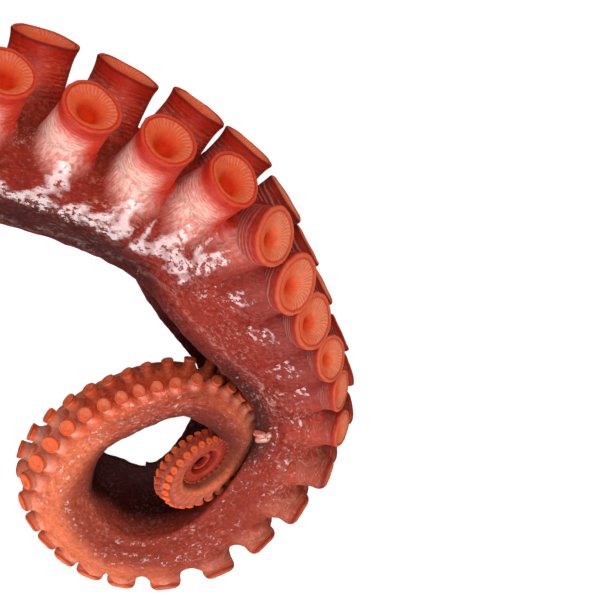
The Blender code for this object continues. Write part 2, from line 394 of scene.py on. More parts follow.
FULL = SuckerForm("full_sucker", 52, stations(
    (1.28, -0.42, 0.0, 0.0), (1.19, -0.24, 0.0, 0.1), (1.11, -0.07, 0.0, 0.2), (1.045, 0.09, 0.0, 0.3),
    (1.0, 0.24, 0.0, 0.4), (0.97, 0.38, 0.0, 0.5), (0.95, 0.52, 0.0, 0.6), (0.94, 0.64, 0.0, 0.7),
    (0.938, 0.75, 0.0, 0.76), (0.95, 0.84, 0.0, 0.82), (0.972, 1.0, 0.20, 0.86), (0.992, 1.0, 0.13, 0.89),
    (1.0, 1.0, 0.085, 0.91), (0.993, 1.0, 0.045, 0.93), (0.972, 1.0, 0.018, 0.955), (0.94, 1.0, 0.004, 0.985),
    (0.91, 1.0, 0.012, 1.01), (0.885, 1.0, 0.035, 1.03), (0.866, 1.0, 0.05, 1.06), (0.85, 1.0, 0.042, 1.09),
    (0.82, 1.0, 0.03, 1.13), (0.785, 1.0, 0.03, 1.17), (0.75, 1.0, 0.045, 1.21), (0.71, 1.0, 0.065, 1.25),
    (0.67, 1.0, 0.088, 1.29), (0.62, 1.0, 0.115, 1.35), (0.56, 1.0, 0.15, 1.42), (0.49, 1.0, 0.20, 1.49),
    (0.42, 1.0, 0.27, 1.56), (0.34, 1.0, 0.37, 1.64), (0.27, 1.0, 0.47, 1.72), (0.20, 1.0, 0.55, 1.80),
    (0.12, 1.0, 0.60, 1.89), (0.05, 1.0, 0.62, 1.96),
))
PLAIN = SuckerForm("plain_sucker", 30, stations(
    (1.35, -0.35, 0.0, 0.0), (1.18, -0.1, 0.0, 0.15), (1.06, 0.12, 0.0, 0.3), (0.98, 0.32, 0.0, 0.45),
    (0.95, 0.52, 0.0, 0.6), (0.95, 0.70, 0.0, 0.75), (0.975, 0.84, 0.0, 0.86), (1.0, 1.0, 0.16, 0.91),
    (0.99, 1.0, 0.07, 0.94), (0.95, 1.0, 0.015, 0.98), (0.89, 1.0, 0.0, 1.01), (0.84, 1.0, 0.03, 1.04),
    (0.80, 1.0, 0.06, 1.07), (0.72, 1.0, 0.06, 1.12), (0.58, 1.0, 0.07, 1.2), (0.42, 1.0, 0.09, 1.3),
    (0.26, 1.0, 0.12, 1.4), (0.12, 1.0, 0.14, 1.45),
))
PAD = SuckerForm("pad_sucker", 34, stations(
    (1.35, -0.6, 0.0, 0.0), (1.2, -0.3, 0.0, 0.15), (1.1, -0.05, 0.0, 0.3), (1.03, 0.14, 0.0, 0.4),
    (0.995, 0.30, 0.0, 0.5), (0.985, 1.0, 0.76, 0.56), (0.995, 1.0, 0.62, 0.62), (1.0, 1.0, 0.50, 0.68),
    (0.99, 1.0, 0.39, 0.74), (0.96, 1.0, 0.29, 0.79), (0.91, 1.0, 0.20, 0.84), (0.84, 1.0, 0.125, 0.88),
    (0.75, 1.0, 0.065, 0.93), (0.64, 1.0, 0.02, 1.0), (0.52, 1.0, 0.0, 1.1), (0.4, 1.0, 0.02, 1.3),
    (0.29, 1.0, 0.08, 1.6), (0.18, 1.0, 0.14, 1.8), (0.08, 1.0, 0.17, 1.95),
))
DISH = SuckerForm("dish_sucker", 46, stations(
    (1.28, -0.42, 0.0, 0.0), (1.19, -0.22, 0.0, 0.1), (1.11, -0.03, 0.0, 0.2), (1.05, 0.14, 0.0, 0.3),
    (1.01, 0.30, 0.0, 0.42), (0.985, 0.45, 0.0, 0.54), (0.97, 0.60, 0.0, 0.66), (0.97, 0.73, 0.0, 0.76),
    (0.98, 1.0, 0.27, 0.83), (0.995, 1.0, 0.19, 0.88), (1.0, 1.0, 0.12, 0.91), (0.985, 1.0, 0.06, 0.94),
    (0.95, 1.0, 0.02, 0.97), (0.90, 1.0, 0.0, 1.0), (0.855, 1.0, 0.02, 1.03), (0.825, 1.0, 0.045, 1.06),
    (0.80, 1.0, 0.04, 1.09), (0.75, 1.0, 0.035, 1.14), (0.68, 1.0, 0.05, 1.22), (0.60, 1.0, 0.075, 1.32),
    (0.51, 1.0, 0.105, 1.42), (0.42, 1.0, 0.145, 1.52), (0.34, 1.0, 0.20, 1.62), (0.27, 1.0, 0.29, 1.72),
    (0.21, 1.0, 0.40, 1.80), (0.14, 1.0, 0.48, 1.88), (0.06, 1.0, 0.51, 1.95),
))
BEAD = SuckerForm("bead_sucker", 16, stations(
    (1.5, -0.5, 0.0, 0.0), (1.2, -0.1, 0.0, 0.2), (1.06, 0.25, 0.0, 0.45), (0.99, 0.55, 0.0, 0.7),
    (0.98, 0.84, 0.0, 0.88), (0.93, 1.0, 0.08, 0.95), (0.8, 1.0, 0.0, 1.03), (0.62, 1.0, 0.03, 1.2),
    (0.42, 1.0, 0.10, 1.5), (0.2, 1.0, 0.18, 1.8),
))


@dataclass(frozen=True)
class Sucker:
    """One sucker where it stands on the arm, with its sizes in millimetres."""

    row: Row
    where: float
    foot: np.ndarray
    forward: np.ndarray
    across: np.ndarray
    axis: np.ndarray
    radius: float
    height: float
    form: SuckerForm

    def away(self, points: np.ndarray) -> tuple[np.ndarray, np.ndarray, np.ndarray, np.ndarray]:
        """Measure points against the sucker's axis.

        Args:
            points: one point a row, in any number of rows.

        Returns:
            Each point's distance from the axis, its height over the foot, and how far the
            side it lies on faces up the arm's side and towards the root, each from -1 to 1.
        """
        offset = points - self.foot
        level = offset @ self.axis
        flat = offset - level[..., None] * self.axis
        distance = np.linalg.norm(flat, axis=-1)
        least = np.maximum(distance, 1e-6)
        return distance, level, -(flat @ self.across) / least, -(flat @ self.forward) / least


@dataclass(frozen=True)
class SuckerPlan:
    """Where the suckers stand, how large they are and how they lean."""

    first: float = 11.5
    last: float = 396.0
    spread_deg: float = 23.0
    pads: tuple[float, float] = (142.0, 246.0)
    full_width: float = 8.5
    dished_from: float = 76.0
    plain_width: float = 2.55
    pitch: Table = Table(
        (11, 15.2), (42, 15.2), (57, 12), (68, 10.8), (80, 13.2), (93, 16), (108, 11.2), (120, 7.8),
        (128, 9.2), (138, 12), (150, 13.6), (170, 14.2), (188, 12), (200, 9), (210, 5.4), (240, 6.2),
        (258, 5.6), (270, 5.5), (277, 4.8), (284, 3.7), (291, 2.9), (316, 2.8), (340, 2.2), (384, 1.1),
    )
    lower_shift: Table = Table(
        (0, 0.18), (26, 0.26), (42, 0.43), (57, 0.54), (69, 0.37), (80, 0.34), (94, 0.4), (109, 0.18), (120, 0.34),
        (142, 0.12), (204, 0.12), (225, 0.45),
    )
    upper_width: Table = Table(
        (0, 13.2), (42, 13.8), (57, 14.4), (80, 14.7), (95, 15.2), (108, 14.7), (120, 12.2), (128, 10.4),
        (150, 9.7), (176, 9), (200, 8.8), (215, 7.8), (228, 6.4), (245, 5.4), (258, 4.4), (270, 3.9),
        (290, 3.1), (320, 2.9), (350, 2.3), (384, 1.1),
    )
    lower_width: Table = Table(
        (0, 15.5), (50, 16.2), (63, 15.3), (75, 13.9), (88, 12.8), (100, 12), (115, 10.4), (150, 9),
        (200, 7.5), (228, 6), (250, 4.8), (270, 3.9), (290, 3.1), (320, 2.9), (350, 2.3), (384, 1.1),
    )
    height: Table = Table(
        (0, 18.4), (27, 18.4), (46, 17.3), (60, 16.8), (69, 16.4), (83, 14.6), (95, 13.4), (107, 10.8), (120, 8.2), (136, 6.3),
        (190, 5.6), (205, 4.6), (226, 3.9), (252, 3.5), (275, 2.8), (292, 2.4), (310, 2.4), (340, 2.1), (384, 1.2),
    )
    upper_foot_deg: Table = Table(
        (0, 20.5), (27, 20.5), (42, 23), (58, 23), (69, 21), (80, 23), (248, 23), (262, 11), (284, 13),
        (292, 26), (300, 30),
    )
    lower_side_deg: Table = Table(
        (0, 14), (50, 15), (63, 14), (75, 17), (100, 18), (115, 19), (140, 23), (240, 23), (256, 38), (300, 36),
        (330, 28),
    )
    upper_side_deg: Table = Table(
        (0, 24), (42, 26), (57, 20), (69, 17), (80, 33), (95, 33), (120, 26), (130, 13), (150, 10),
        (176, 26), (190, 36), (205, 46), (215, 43), (225, 37), (236, 24), (262, 22), (285, 22), (300, 26),
    )
    upper_lean_deg: Table = Table(
        (0, 13), (27, 12), (42, 6), (57, 0), (69, 0), (80, 10), (108, 13), (128, 8), (138, -1), (150, -9),
        (165, -8), (190, 0),
    )
    lower_lean_deg: Table = Table((0, 1), (50, 4), (63, 7), (73, -4), (86, 0), (100, 9), (115, 8), (130, 0))

    def place(self, line: MiddleLine, meat: MeatShape) -> list[Sucker]:
        """Stand both rows on the belly.

        Args:
            line: the middle line.
            meat: the meat that they stand on.

        Returns:
            The suckers from the root to the tip.
        """
        made = []
        where = self.first
        while where < self.last:
            pitch = float(self.pitch.at(where))
            made.append(self.sucker(line, meat, Row.UPPER, where))
            made.append(self.sucker(line, meat, Row.LOWER, where + float(self.lower_shift.at(where)) * pitch))
            where += pitch
        return made

    def sucker(self, line: MiddleLine, meat: MeatShape, row: Row, where: float) -> Sucker:
        """Stand one sucker of a row at a distance along the arm."""
        upper = row is Row.UPPER
        frames = line.frames(where)
        middle, ahead, outward, upward = (
            axis[0] for axis in (frames.middle, frames.forward, frames.outward, frames.upward)
        )
        upward = row.value * upward
        half_depth, half_width = meat.half_sizes(where)
        spread = math.radians(float(self.upper_foot_deg.at(where)) if upper else self.spread_deg)
        straight = math.cos(spread) * outward + math.sin(spread) * upward
        height = float(self.height.at(where))
        face = middle + math.cos(spread) * half_depth * outward + math.sin(spread) * half_width * upward
        face = face + height * straight
        side = math.radians(float((self.upper_side_deg if upper else self.lower_side_deg).at(where)))
        lean = math.radians(float((self.upper_lean_deg if upper else self.lower_lean_deg).at(where)))
        axis = math.cos(side) * outward + math.sin(side) * upward
        axis = unit_rows(math.cos(lean) * axis + math.sin(lean) * ahead)
        height = (height + float(meat.belly_drop.at(where))) / float(axis @ straight)
        forward = unit_rows(np.cross(np.cross(axis, ahead), axis))
        width = float((self.upper_width if upper else self.lower_width).at(where))
        across = np.cross(axis, forward)
        form = self.form(where, width)
        return Sucker(row, where, face - height * axis, forward, across, axis, width / 2.0, height, form)

    def form(self, where: float, width: float) -> SuckerForm:
        """Choose the form that suits a sucker's place and size."""
        if self.pads[0] < where < self.pads[1]:
            return PAD
        if width >= self.full_width:
            return FULL if where < self.dished_from else DISH
        return PLAIN if width >= self.plain_width else BEAD


def put_attribute(mesh: bpy.types.Mesh, name: str, values: np.ndarray) -> None:
    """Store one number or one vector for each vertex under a name.

    Args:
        mesh: the mesh to store it on.
        name: the attribute's name.
        values: one row a vertex.
    """
    kind, key = ("FLOAT_VECTOR", "vector") if values.ndim == 2 else ("FLOAT", "value")
    attribute = mesh.attributes.get(name) or mesh.attributes.new(name, kind, "POINT")
    attribute.data.foreach_set(key, np.ascontiguousarray(values, dtype=np.float32).ravel())


def read_points(mesh: bpy.types.Mesh) -> np.ndarray:
    """Give the mesh's vertices, one a row."""
    points = np.empty(len(mesh.vertices) * 3)
    mesh.vertices.foreach_get("co", points)
    return points.reshape(-1, 3)


def write_points(mesh: bpy.types.Mesh, points: np.ndarray) -> None:
    """Move the mesh's vertices."""
    mesh.vertices.foreach_set("co", np.ascontiguousarray(points, dtype=np.float32).ravel())
    mesh.update()


def deselect() -> None:
    """Leave nothing selected, so that an operator acts on new things alone."""
    if bpy.context.object and bpy.context.object.mode != "OBJECT":
        bpy.ops.object.mode_set(mode="OBJECT")
    bpy.ops.object.select_all(action="DESELECT")


def select_only(piece: bpy.types.Object) -> None:
    """Make the piece the one selected and active object."""
    deselect()
    piece.select_set(True)
    bpy.context.view_layer.objects.active = piece


@dataclass(frozen=True)
class Zones:
    """Where on the arm the skin is dark, plum, coral, pale or covered by a wet film. The dark back is darker skin
    deepened with painted shade, the pale stalks carry a painted highlight on their lit side, the ridge's edge carries a
    thin painted highlight, and the flecks are partly pale skin, partly painted glints.
    """

    dark: Table = Table((0, 0.85), (60, 0.85), (100, 0.85), (150, 1), (240, 1), (256, 0.8), (300, 0.7), (318, 0.6), (340, 0.75), (400, 0.75))
    dark_from: Table = Table(
        (0, 80), (50, 82), (64, 96), (80, 114), (100, 114), (118, 102), (150, 104), (166, 145), (180, 160),
        (225, 160), (240, 116), (256, 70), (300, 64), (325, 104)
    )
    dark_to: Table = Table(
        (0, 106), (52, 108), (66, 124), (80, 142), (150, 142), (166, 180), (180, 205), (225, 205), (240, 160),
        (258, 140), (300, 140), (325, 142),
    )
    lip_at: Table = Table((0, 132), (52, 130), (75, 120), (94, 111), (150, 106))
    warm: Table = Table((0, 0), (125, 0), (155, 0.35), (188, 0.4), (208, 0.75), (232, 1), (258, 1), (270, 0.6), (290, 0.5), (304, 0.8), (325, 1), (400, 1))
    film: Table = Table(
        (0, 1.2), (62, 1.2), (74, 1.0), (84, 0.3), (98, 0.15), (112, 0.45), (135, 0.5), (150, 0.35),
        (170, 0.25), (205, 0.25), (230, 0.3), (290, 0.3), (305, 0), (400, 0),
    )
    plum: Table = Table((0, 0.9), (60, 0.7), (85, 0.15), (105, 0.45), (130, 0.65), (150, 0.25), (400, 0.05))
    membrane: Table = Table((0, 0.1), (110, 0.1), (215, 0.3), (250, 0.85), (340, 0.85), (400, 0.3))
    lip: Table = Table((0, 0.05), (70, 0.1), (96, 0.22), (126, 0.2), (138, 0))
    wisped: Table = Table(
        (0, 0.5), (60, 0.5), (84, 0.2), (104, 0.25), (120, 0.5), (150, 0.5), (166, 0.22), (235, 0.25), (262, 0.42), (290, 0.42), (310, 0.2), (400, 0.1)
    )
    folded: Table = Table((0, 0), (70, 0), (84, 0.7), (124, 0.7), (138, 0.1), (150, 0), (400, 0))
    pale: Table = Table((0, 0.92), (66, 0.92), (72, 0.6), (77, 0.12), (84, 0.04), (140, 0.05), (236, 0.3), (254, 0.6), (300, 0.4), (400, 0.3))

    def paint(self, mesh: bpy.types.Mesh, along: np.ndarray, angle: np.ndarray) -> None:
        """Store the zones on a mesh.

        Args:
            mesh: the mesh to paint.
            along: each vertex's distance along the arm.
            angle: each vertex's angle round it.
        """
        share = np.clip((angle - self.dark_from.at(along)) / (self.dark_to.at(along) - self.dark_from.at(along)), 0, 1)
        back = smoothstep(0.0, 1.0, share) * (1.0 - smoothstep(235.0, 290.0, angle))
        belly = 1.0 - smoothstep(25.0, 50.0, np.minimum(angle, 360.0 - angle))
        low = smoothstep(70.0, 105.0, angle) * (1.0 - smoothstep(235.0, 290.0, angle))
        # dark: the back's darker skin together with painted shade on the back and on the inner face of the coil.
        put_attribute(mesh, "dark", back * self.dark.at(along))
        put_attribute(mesh, "warm", self.warm.at(along) * (1.0 - 0.45 * low * smoothstep(340.0, 300.0, along)))
        beside = bump(angle, 60.0, 24.0) * smoothstep(76.0, 86.0, along) * smoothstep(146.0, 130.0, along)
        put_attribute(mesh, "film", np.maximum(self.film.at(along) * (1.0 - 0.92 * back), 0.62 * beside))
        put_attribute(mesh, "folded", self.folded.at(along))
        # pale: how pale the stalks are here, which also scales the painted highlight on their lit side.
        put_attribute(mesh, "pale", self.pale.at(along))
        # Where pale flecks and painted glints lie on the skin.
        put_attribute(mesh, "wisped", self.wisped.at(along) * (1.0 - 0.75 * back))
        put_attribute(mesh, "plum", self.plum.at(along) * (0.25 + 0.75 * low))
        put_attribute(mesh, "membrane", belly * self.membrane.at(along))
        wavering = self.lip_at.at(along) + 2.5 * np.sin(0.37 * along) + 2.0 * np.sin(0.83 * along + 1.0)
        # A thin painted highlight along the ridge's edge.
        put_attribute(mesh, "lip", bump(angle, wavering, 5.0) * self.lip.at(along))


# The side of a stalk or cup that faces the side light: the painted highlight on stalks and the painted paler side of
# the cups follow it.
UP_SHARE, BACK_SHARE = 0.75, 0.65


def crease_shade_of(gap: np.ndarray) -> np.ndarray:
    """Turn the gap to the second nearest sucker, in millimetres, into painted shade between the suckers, from 0 to 1.
    """
    return 1.0 - smoothstep(0.2, 4.2, gap)


@dataclass
class Meat:
    """The arm's meat and skin, from the cut root to the tip, without the suckers."""

    line: MiddleLine
    shape: MeatShape
    suckers: list[Sucker]
    around: int = 144
    fine_angles: int = 720
    first_step: float = 0.62
    step_share: float = 0.012
    smallest_step: float = 0.30
    flare_share: Table = Table(
        (0, 0.46), (68, 0.46), (82, 0.78), (125, 0.78), (140, 0.6), (230, 0.5), (256, 0.45), (400, 0.5)
    )
    flare_width: Table = Table((0, 0.42), (68, 0.44), (82, 0.62), (125, 0.62), (140, 0.5), (235, 0.6), (260, 0.75), (400, 0.8))
    side_widening: float = 1.5
    unevenness: float = 0.22
    cut_shares: tuple[float, ...] = (0.03, 0.08, 0.12, 0.16, 0.2, 0.3, 0.4, 0.5, 0.6, 0.7, 0.8, 0.88, 0.94, 0.97, 0.99)
    cut_swell: float = 0.9

    def places(self) -> np.ndarray:
        """Give the rings' distances along the arm, closer together where it is thin."""
        places = [0.0]
        while places[-1] < self.line.length:
            depth = float(self.shape.depth.at(places[-1]))
            step = self.smallest_step + (self.first_step - self.smallest_step) * min(depth / 16.0, 1.0)
            places.append(places[-1] + step)
        return np.asarray(places) * self.line.length / places[-1]

    def resample(self, points: np.ndarray, angles: np.ndarray) -> tuple[np.ndarray, np.ndarray]:
        """Space each ring's points evenly from the belly to the web's edge and back.

        Args:
            points: the fine sections by ring, angle and axis.
            angles: their angles.

        Returns:
            The evenly spaced points by ring, and the angle of each.
        """
        rings, _, _ = points.shape
        turn = int(np.searchsorted(angles, self.shape.web_at))
        upper = round(self.around * 0.62)
        halves = ((0, turn, upper), (turn, len(angles) - 1, self.around - upper))
        spaced = np.empty((rings, self.around, 3))
        at_angles = np.empty((rings, self.around))
        for ring in range(rings):
            filled = 0
            for start, end, count in halves:
                part = points[ring, start : end + 1]
                lengths = np.r_[0.0, np.cumsum(np.linalg.norm(np.diff(part, axis=0), axis=1))]
                wanted = np.arange(count) / count * lengths[-1]
                into = slice(filled, filled + count)
                at_angles[ring, into] = np.interp(wanted, lengths, angles[start : end + 1])
                for axis in range(3):
                    spaced[ring, into, axis] = np.interp(wanted, lengths, part[:, axis])
                filled += count
        return spaced, at_angles

    def flares(self, points: np.ndarray, where: np.ndarray) -> dict[str, np.ndarray]:
        """Draw the skin up round the foot of each sucker.

        Args:
            points: the rings' points.
            where: the rings' distances along the arm.

        Returns:
            How far each point moves, how much of it belongs to a stalk, how far it then
            faces up, and how near it lies to the second nearest sucker.
        """
        shape = points.shape[:2]
        moves = np.zeros(points.shape)
        weights = np.full(shape, 1e-9)
        stalk, facing = np.zeros(shape), np.zeros(shape)
        gaps = np.full((2, *shape), 99.0)
        for sucker in self.suckers:
            near = np.flatnonzero(np.abs(where - sucker.where) < 2.6 * sucker.radius + 5.0)
            rings = slice(near[0], near[-1] + 1)
            distance, level, up, back = sucker.away(points[rings])
            flank = np.clip(up * sucker.row.value, 0.0, 1.0)
            wide = sucker.radius * float(self.flare_width.at(sucker.where))
            wide = wide * (1.0 + self.side_widening * flank**1.5)
            share = np.clip(1.0 - (distance - 0.88 * sucker.radius) / wide, 0.0, 1.0)
            share = share * (np.abs(level) < 1.6 * sucker.radius)
            hidden = 0.7 + 0.3 * smoothstep(0.45 * sucker.radius, 0.85 * sucker.radius, distance)
            rise = hidden * share**2.4 * sucker.height * float(self.flare_share.at(sucker.where))
            weight = rise**4 + 1e-12
            moves[rings] += (weight * rise)[..., None] * sucker.axis
            weights[rings] += weight
            closer = share**1.6 > stalk[rings]
            facing[rings] = np.where(closer, UP_SHARE * up + BACK_SHARE * back, facing[rings])
            stalk[rings] = np.maximum(stalk[rings], share**1.6)
            gap = np.maximum(distance - 0.9 * sucker.radius, 0.0)
            gap = gap + 6.0 * smoothstep(1.0, 1.7, np.abs(level) / sucker.radius)
            gaps[1, rings] = np.minimum(gaps[1, rings], np.maximum(gap, gaps[0, rings]))
            gaps[0, rings] = np.minimum(gaps[0, rings], gap)
        return {"moves": moves / weights[..., None], "stalk": stalk, "facing": facing, "gap": gaps[1]}

    @staticmethod
    def normals(points: np.ndarray) -> np.ndarray:
        """Give the outward normals of a closed grid of rings."""
        along = np.gradient(points, axis=0)
        around = np.roll(points, -1, axis=1) - np.roll(points, 1, axis=1)
        return unit_rows(np.cross(along, around) + 1e-12)

    def model(self) -> bpy.types.Object:
        """Build the meat: a grid bent to the arm's shape, closed along its seam and ends.

        Returns:
            The finished piece with its attributes.
        """
        where = self.places()
        angles = np.linspace(0.0, 360.0, self.fine_angles + 1)
        points, at_angles = self.resample(self.shape.sections(self.line, where, angles), angles)
        skin = self.flares(points, where)
        points = points + skin["moves"]
        depth = self.shape.depth.at(where)[:, None]
        lumps = Lumps(7.0, 11).at(points) + 0.5 * Lumps(2.6, 12).at(points)
        inwards = -np.sign((self.normals(points) * (points - self.line.at(where)[:, None])).sum(-1)).mean()
        normals = self.normals(points) * -np.sign(inwards)
        points = points + normals * (lumps * self.unevenness * np.minimum(depth / 20.0, 1.0))[..., None]
        points[..., 2] = np.maximum(points[..., 2], 0.02)
        return self.mesh(*self.with_cut(points, where, at_angles, skin))

    def with_cut(
        self, points: np.ndarray, where: np.ndarray, at_angles: np.ndarray, skin: dict[str, np.ndarray]
    ) -> tuple[np.ndarray, np.ndarray, np.ndarray, dict[str, np.ndarray]]:
        """Add smaller and smaller rings over the root, for its swollen cut face.

        Args:
            points: the points by ring.
            where: the rings' distances along the arm.
            at_angles: each point's angle.
            skin: what the suckers do to each point.

        Returns:
            The same four with the cut's rings before them, and how far inside the cut each
            point is, from 0 at its edge to 1 in its middle.
        """
        middle = points[0].mean(axis=0)
        ahead = self.line.frames(0.0).forward[0]
        shares = np.asarray(self.cut_shares)
        swell = self.cut_swell * (1.0 - shares**4) + 0.5 * bump(shares, 0.0, 0.16)
        rings = middle + shares[:, None, None] * (points[0] - middle) - swell[:, None, None] * ahead
        added = len(shares)
        skin = {name: np.concatenate([values[:1]] * added + [values]) for name, values in skin.items()}
        inside = np.r_[1.0 - shares, np.zeros(len(where))]
        skin["cut"] = np.repeat(inside[:, None], points.shape[1], axis=1)
        return (
            np.concatenate([rings, points]),
            np.r_[np.zeros(added), where],
            np.concatenate([at_angles[:1]] * added + [at_angles]),
            skin,
        )

    def mesh(
        self,
        points: np.ndarray,
        where: np.ndarray,
        at_angles: np.ndarray,
        skin: dict[str, np.ndarray],
    ) -> bpy.types.Object:
        """Bend a grid to the rings and close it.

        Args:
            points: the points by ring.
            where: the rings' distances along the arm.
            at_angles: each point's angle.
            skin: what the suckers do to each point.

        Returns:
            The closed piece.
        """
        rings, around = points.shape[:2]
        deselect()
        bpy.ops.mesh.primitive_grid_add(x_subdivisions=around, y_subdivisions=rings - 1, size=2.0)
        made = bpy.context.active_object
        made.name = "arm_meat"
        flat = read_points(made.data)
        column = np.rint((flat[:, 0] + 1.0) / 2.0 * around).astype(int) % around
        row = np.rint((flat[:, 1] + 1.0) / 2.0 * (rings - 1)).astype(int)
        write_points(made.data, points[row, column] * MM)
        angle = at_angles[row, column]
        along = where[row]
        away = points[row, column] - self.line.at(along)
        reach = np.linalg.norm(away, axis=1)
        turned = np.radians(angle)
        straight = np.stack([along, reach * np.cos(turned), reach * np.sin(turned)], axis=1)
        put_attribute(made.data, "straight", straight)
        put_attribute(made.data, "along", along)
        Zones().paint(made.data, along, angle)
        stalk = skin["stalk"][row, column]
        put_attribute(made.data, "stalk", stalk)
        put_attribute(made.data, "cut", skin["cut"][row, column])
        # Painted shade in the folds between neighbouring stalks, from 0 to 1.
        put_attribute(made.data, "crease", crease_shade_of(skin["gap"][row, column]))
        put_attribute(made.data, "zone", 0.3 * stalk)
        put_attribute(made.data, "facing", stalk * skin["facing"][row, column] + (1.0 - stalk) * np.sin(turned))
        put_attribute(made.data, "upper_row", (np.sin(turned) > 0.0).astype(float))
        select_only(made)
        bpy.ops.object.mode_set(mode="EDIT")
        bpy.ops.mesh.select_all(action="SELECT")
        bpy.ops.mesh.remove_doubles(threshold=1e-6)
        bpy.ops.mesh.select_all(action="DESELECT")
        bpy.ops.mesh.select_mode(type="EDGE")
        bpy.ops.mesh.select_non_manifold(extend=False)
        bpy.ops.mesh.edge_face_add()
        bpy.ops.mesh.select_all(action="SELECT")
        bpy.ops.mesh.normals_make_consistent(inside=False)
        bpy.ops.mesh.select_mode(type="VERT")
        bpy.ops.object.mode_set(mode="OBJECT")
        bpy.ops.object.shade_smooth()
        return made


@dataclass
class SuckerRows:
    """The suckers as three pieces: the upper row, the lower row and the tip's beads."""

    line: MiddleLine
    suckers: list[Sucker]
    seed: int = 5
    behind_cut: float = 0.8
    tip_from: float = 262.0
    pit_shift: float = 0.13

    def model(self) -> list[bpy.types.Object]:
        """Copy, place and join the suckers.

        Returns:
            The three pieces.
        """
        draws = np.random.default_rng(self.seed)
        patterns = {form.name: form.model() for form in (FULL, DISH, PLAIN, PAD, BEAD)}
        groups: dict[str, list[bpy.types.Object]] = {}
        for number, sucker in enumerate(self.suckers):
            name = "tip_suckers" if sucker.where > self.tip_from else f"{sucker.row.name.lower()}_suckers"
            piece = self.copy(patterns[sucker.form.name], sucker, number, draws)
            groups.setdefault(name, []).append(piece)
        for pattern in patterns.values():
            bpy.data.objects.remove(pattern, do_unlink=True)
        return [self.join(name, members) for name, members in groups.items()]

    def copy(
        self, pattern: bpy.types.Object, sucker: Sucker, number: int, draws: np.random.Generator
    ) -> bpy.types.Object:
        """Copy a pattern to one sucker's place and make it a little uneven.

        Args:
            pattern: the turned form to copy.
            sucker: where it goes and how large it is.
            number: the sucker's number, for its name.
            draws: the source of chance.

        Returns:
            The copy, with its own mesh.
        """
        mesh = pattern.data.copy()
        made = bpy.data.objects.new(f"sucker_{number:03d}", mesh)
        bpy.context.scene.collection.objects.link(made)
        flat = read_points(mesh)
        turn = np.arctan2(flat[:, 1], flat[:, 0])
        radius, height, drop, zone = sucker.form.rings(len(flat)).T
        upper = np.clip(height, 0.0, 1.0)
        swing = draws.uniform(0.0, 2.0 * math.pi, 3)
        oval = 0.035 * np.cos(2.0 * (turn - swing[0])) + 0.02 * np.cos(3.0 * (turn - swing[1]))
        rim = smoothstep(0.76, 0.9, zone) * smoothstep(1.2, 1.06, zone)
        ragged = 0.006 * np.sin(11.0 * turn + swing[0]) + 0.007 * np.sin(17.0 * turn + swing[1])
        pinched = 0.016 * np.sin(7.0 * height + 2.0 * turn + swing[1]) * smoothstep(0.86, 0.6, zone)
        radius = radius * (1.0 + (oval + pinched) * upper + ragged * rim)
        along = radius * np.cos(turn)
        across = radius * np.sin(turn) - self.pit_shift * smoothstep(1.15, 1.7, zone)
        rise = height * sucker.height - drop * sucker.radius
        rise = rise + upper * 0.03 * sucker.radius * radius * np.cos(turn - swing[2])
        rise = rise + 0.008 * sucker.radius * rim * np.sin(5.0 * turn + swing[2])
        local = np.stack([along * sucker.radius, across * sucker.radius, rise], axis=1)
        placed = sucker.foot + local @ np.stack([sucker.forward, sucker.across, sucker.axis])
        placed[:, 2] = np.maximum(placed[:, 2], 0.02)
        root = self.line.frames(0.0)
        short = np.maximum(self.behind_cut - (placed - root.middle[0]) @ root.forward[0], 0.0)
        placed = placed + (short * (height < 0.0))[:, None] * root.forward[0]
        write_points(mesh, placed * MM)
        gap = np.full(len(placed), 99.0)
        for other in self.suckers:
            if other is not sucker and abs(other.where - sucker.where) < 2.0 * (sucker.radius + other.radius):
                gap = np.minimum(gap, np.maximum(other.away(placed)[0] - 0.9 * other.radius, 0.0))
        straight = np.stack([sucker.where + local[:, 0], 9.0 + local[:, 1], local[:, 2]], axis=1)
        put_attribute(mesh, "straight", straight)
        put_attribute(mesh, "along", np.full(len(local), sucker.where))
        Zones().paint(mesh, np.full(len(local), sucker.where), np.full(len(local), 20.0))
        put_attribute(mesh, "zone", zone)
        put_attribute(mesh, "stalk", np.clip(zone / 0.3, 0.0, 1.0))
        # Painted shade between neighbouring stalks, fading out up the stalk.
        put_attribute(mesh, "crease", crease_shade_of(gap) * (1.0 - smoothstep(0.5, 0.85, zone)))
        put_attribute(mesh, "facing", -UP_SHARE * np.sin(turn) - BACK_SHARE * np.cos(turn))
        put_attribute(mesh, "cup", np.stack([along, across, height], axis=1))
        put_attribute(mesh, "upper_row", np.full(len(local), 1.0 if sucker.row is Row.UPPER else 0.0))
        return made

    def join(self, name: str, members: list[bpy.types.Object]) -> bpy.types.Object:
        """Join the copies into one piece of that name."""
        deselect()
        for member in members:
            member.select_set(True)
        bpy.context.view_layer.objects.active = members[0]
        bpy.ops.object.join()
        made = bpy.context.active_object
        made.name = name
        made.data.name = name
        bpy.ops.object.shade_smooth()
        return made


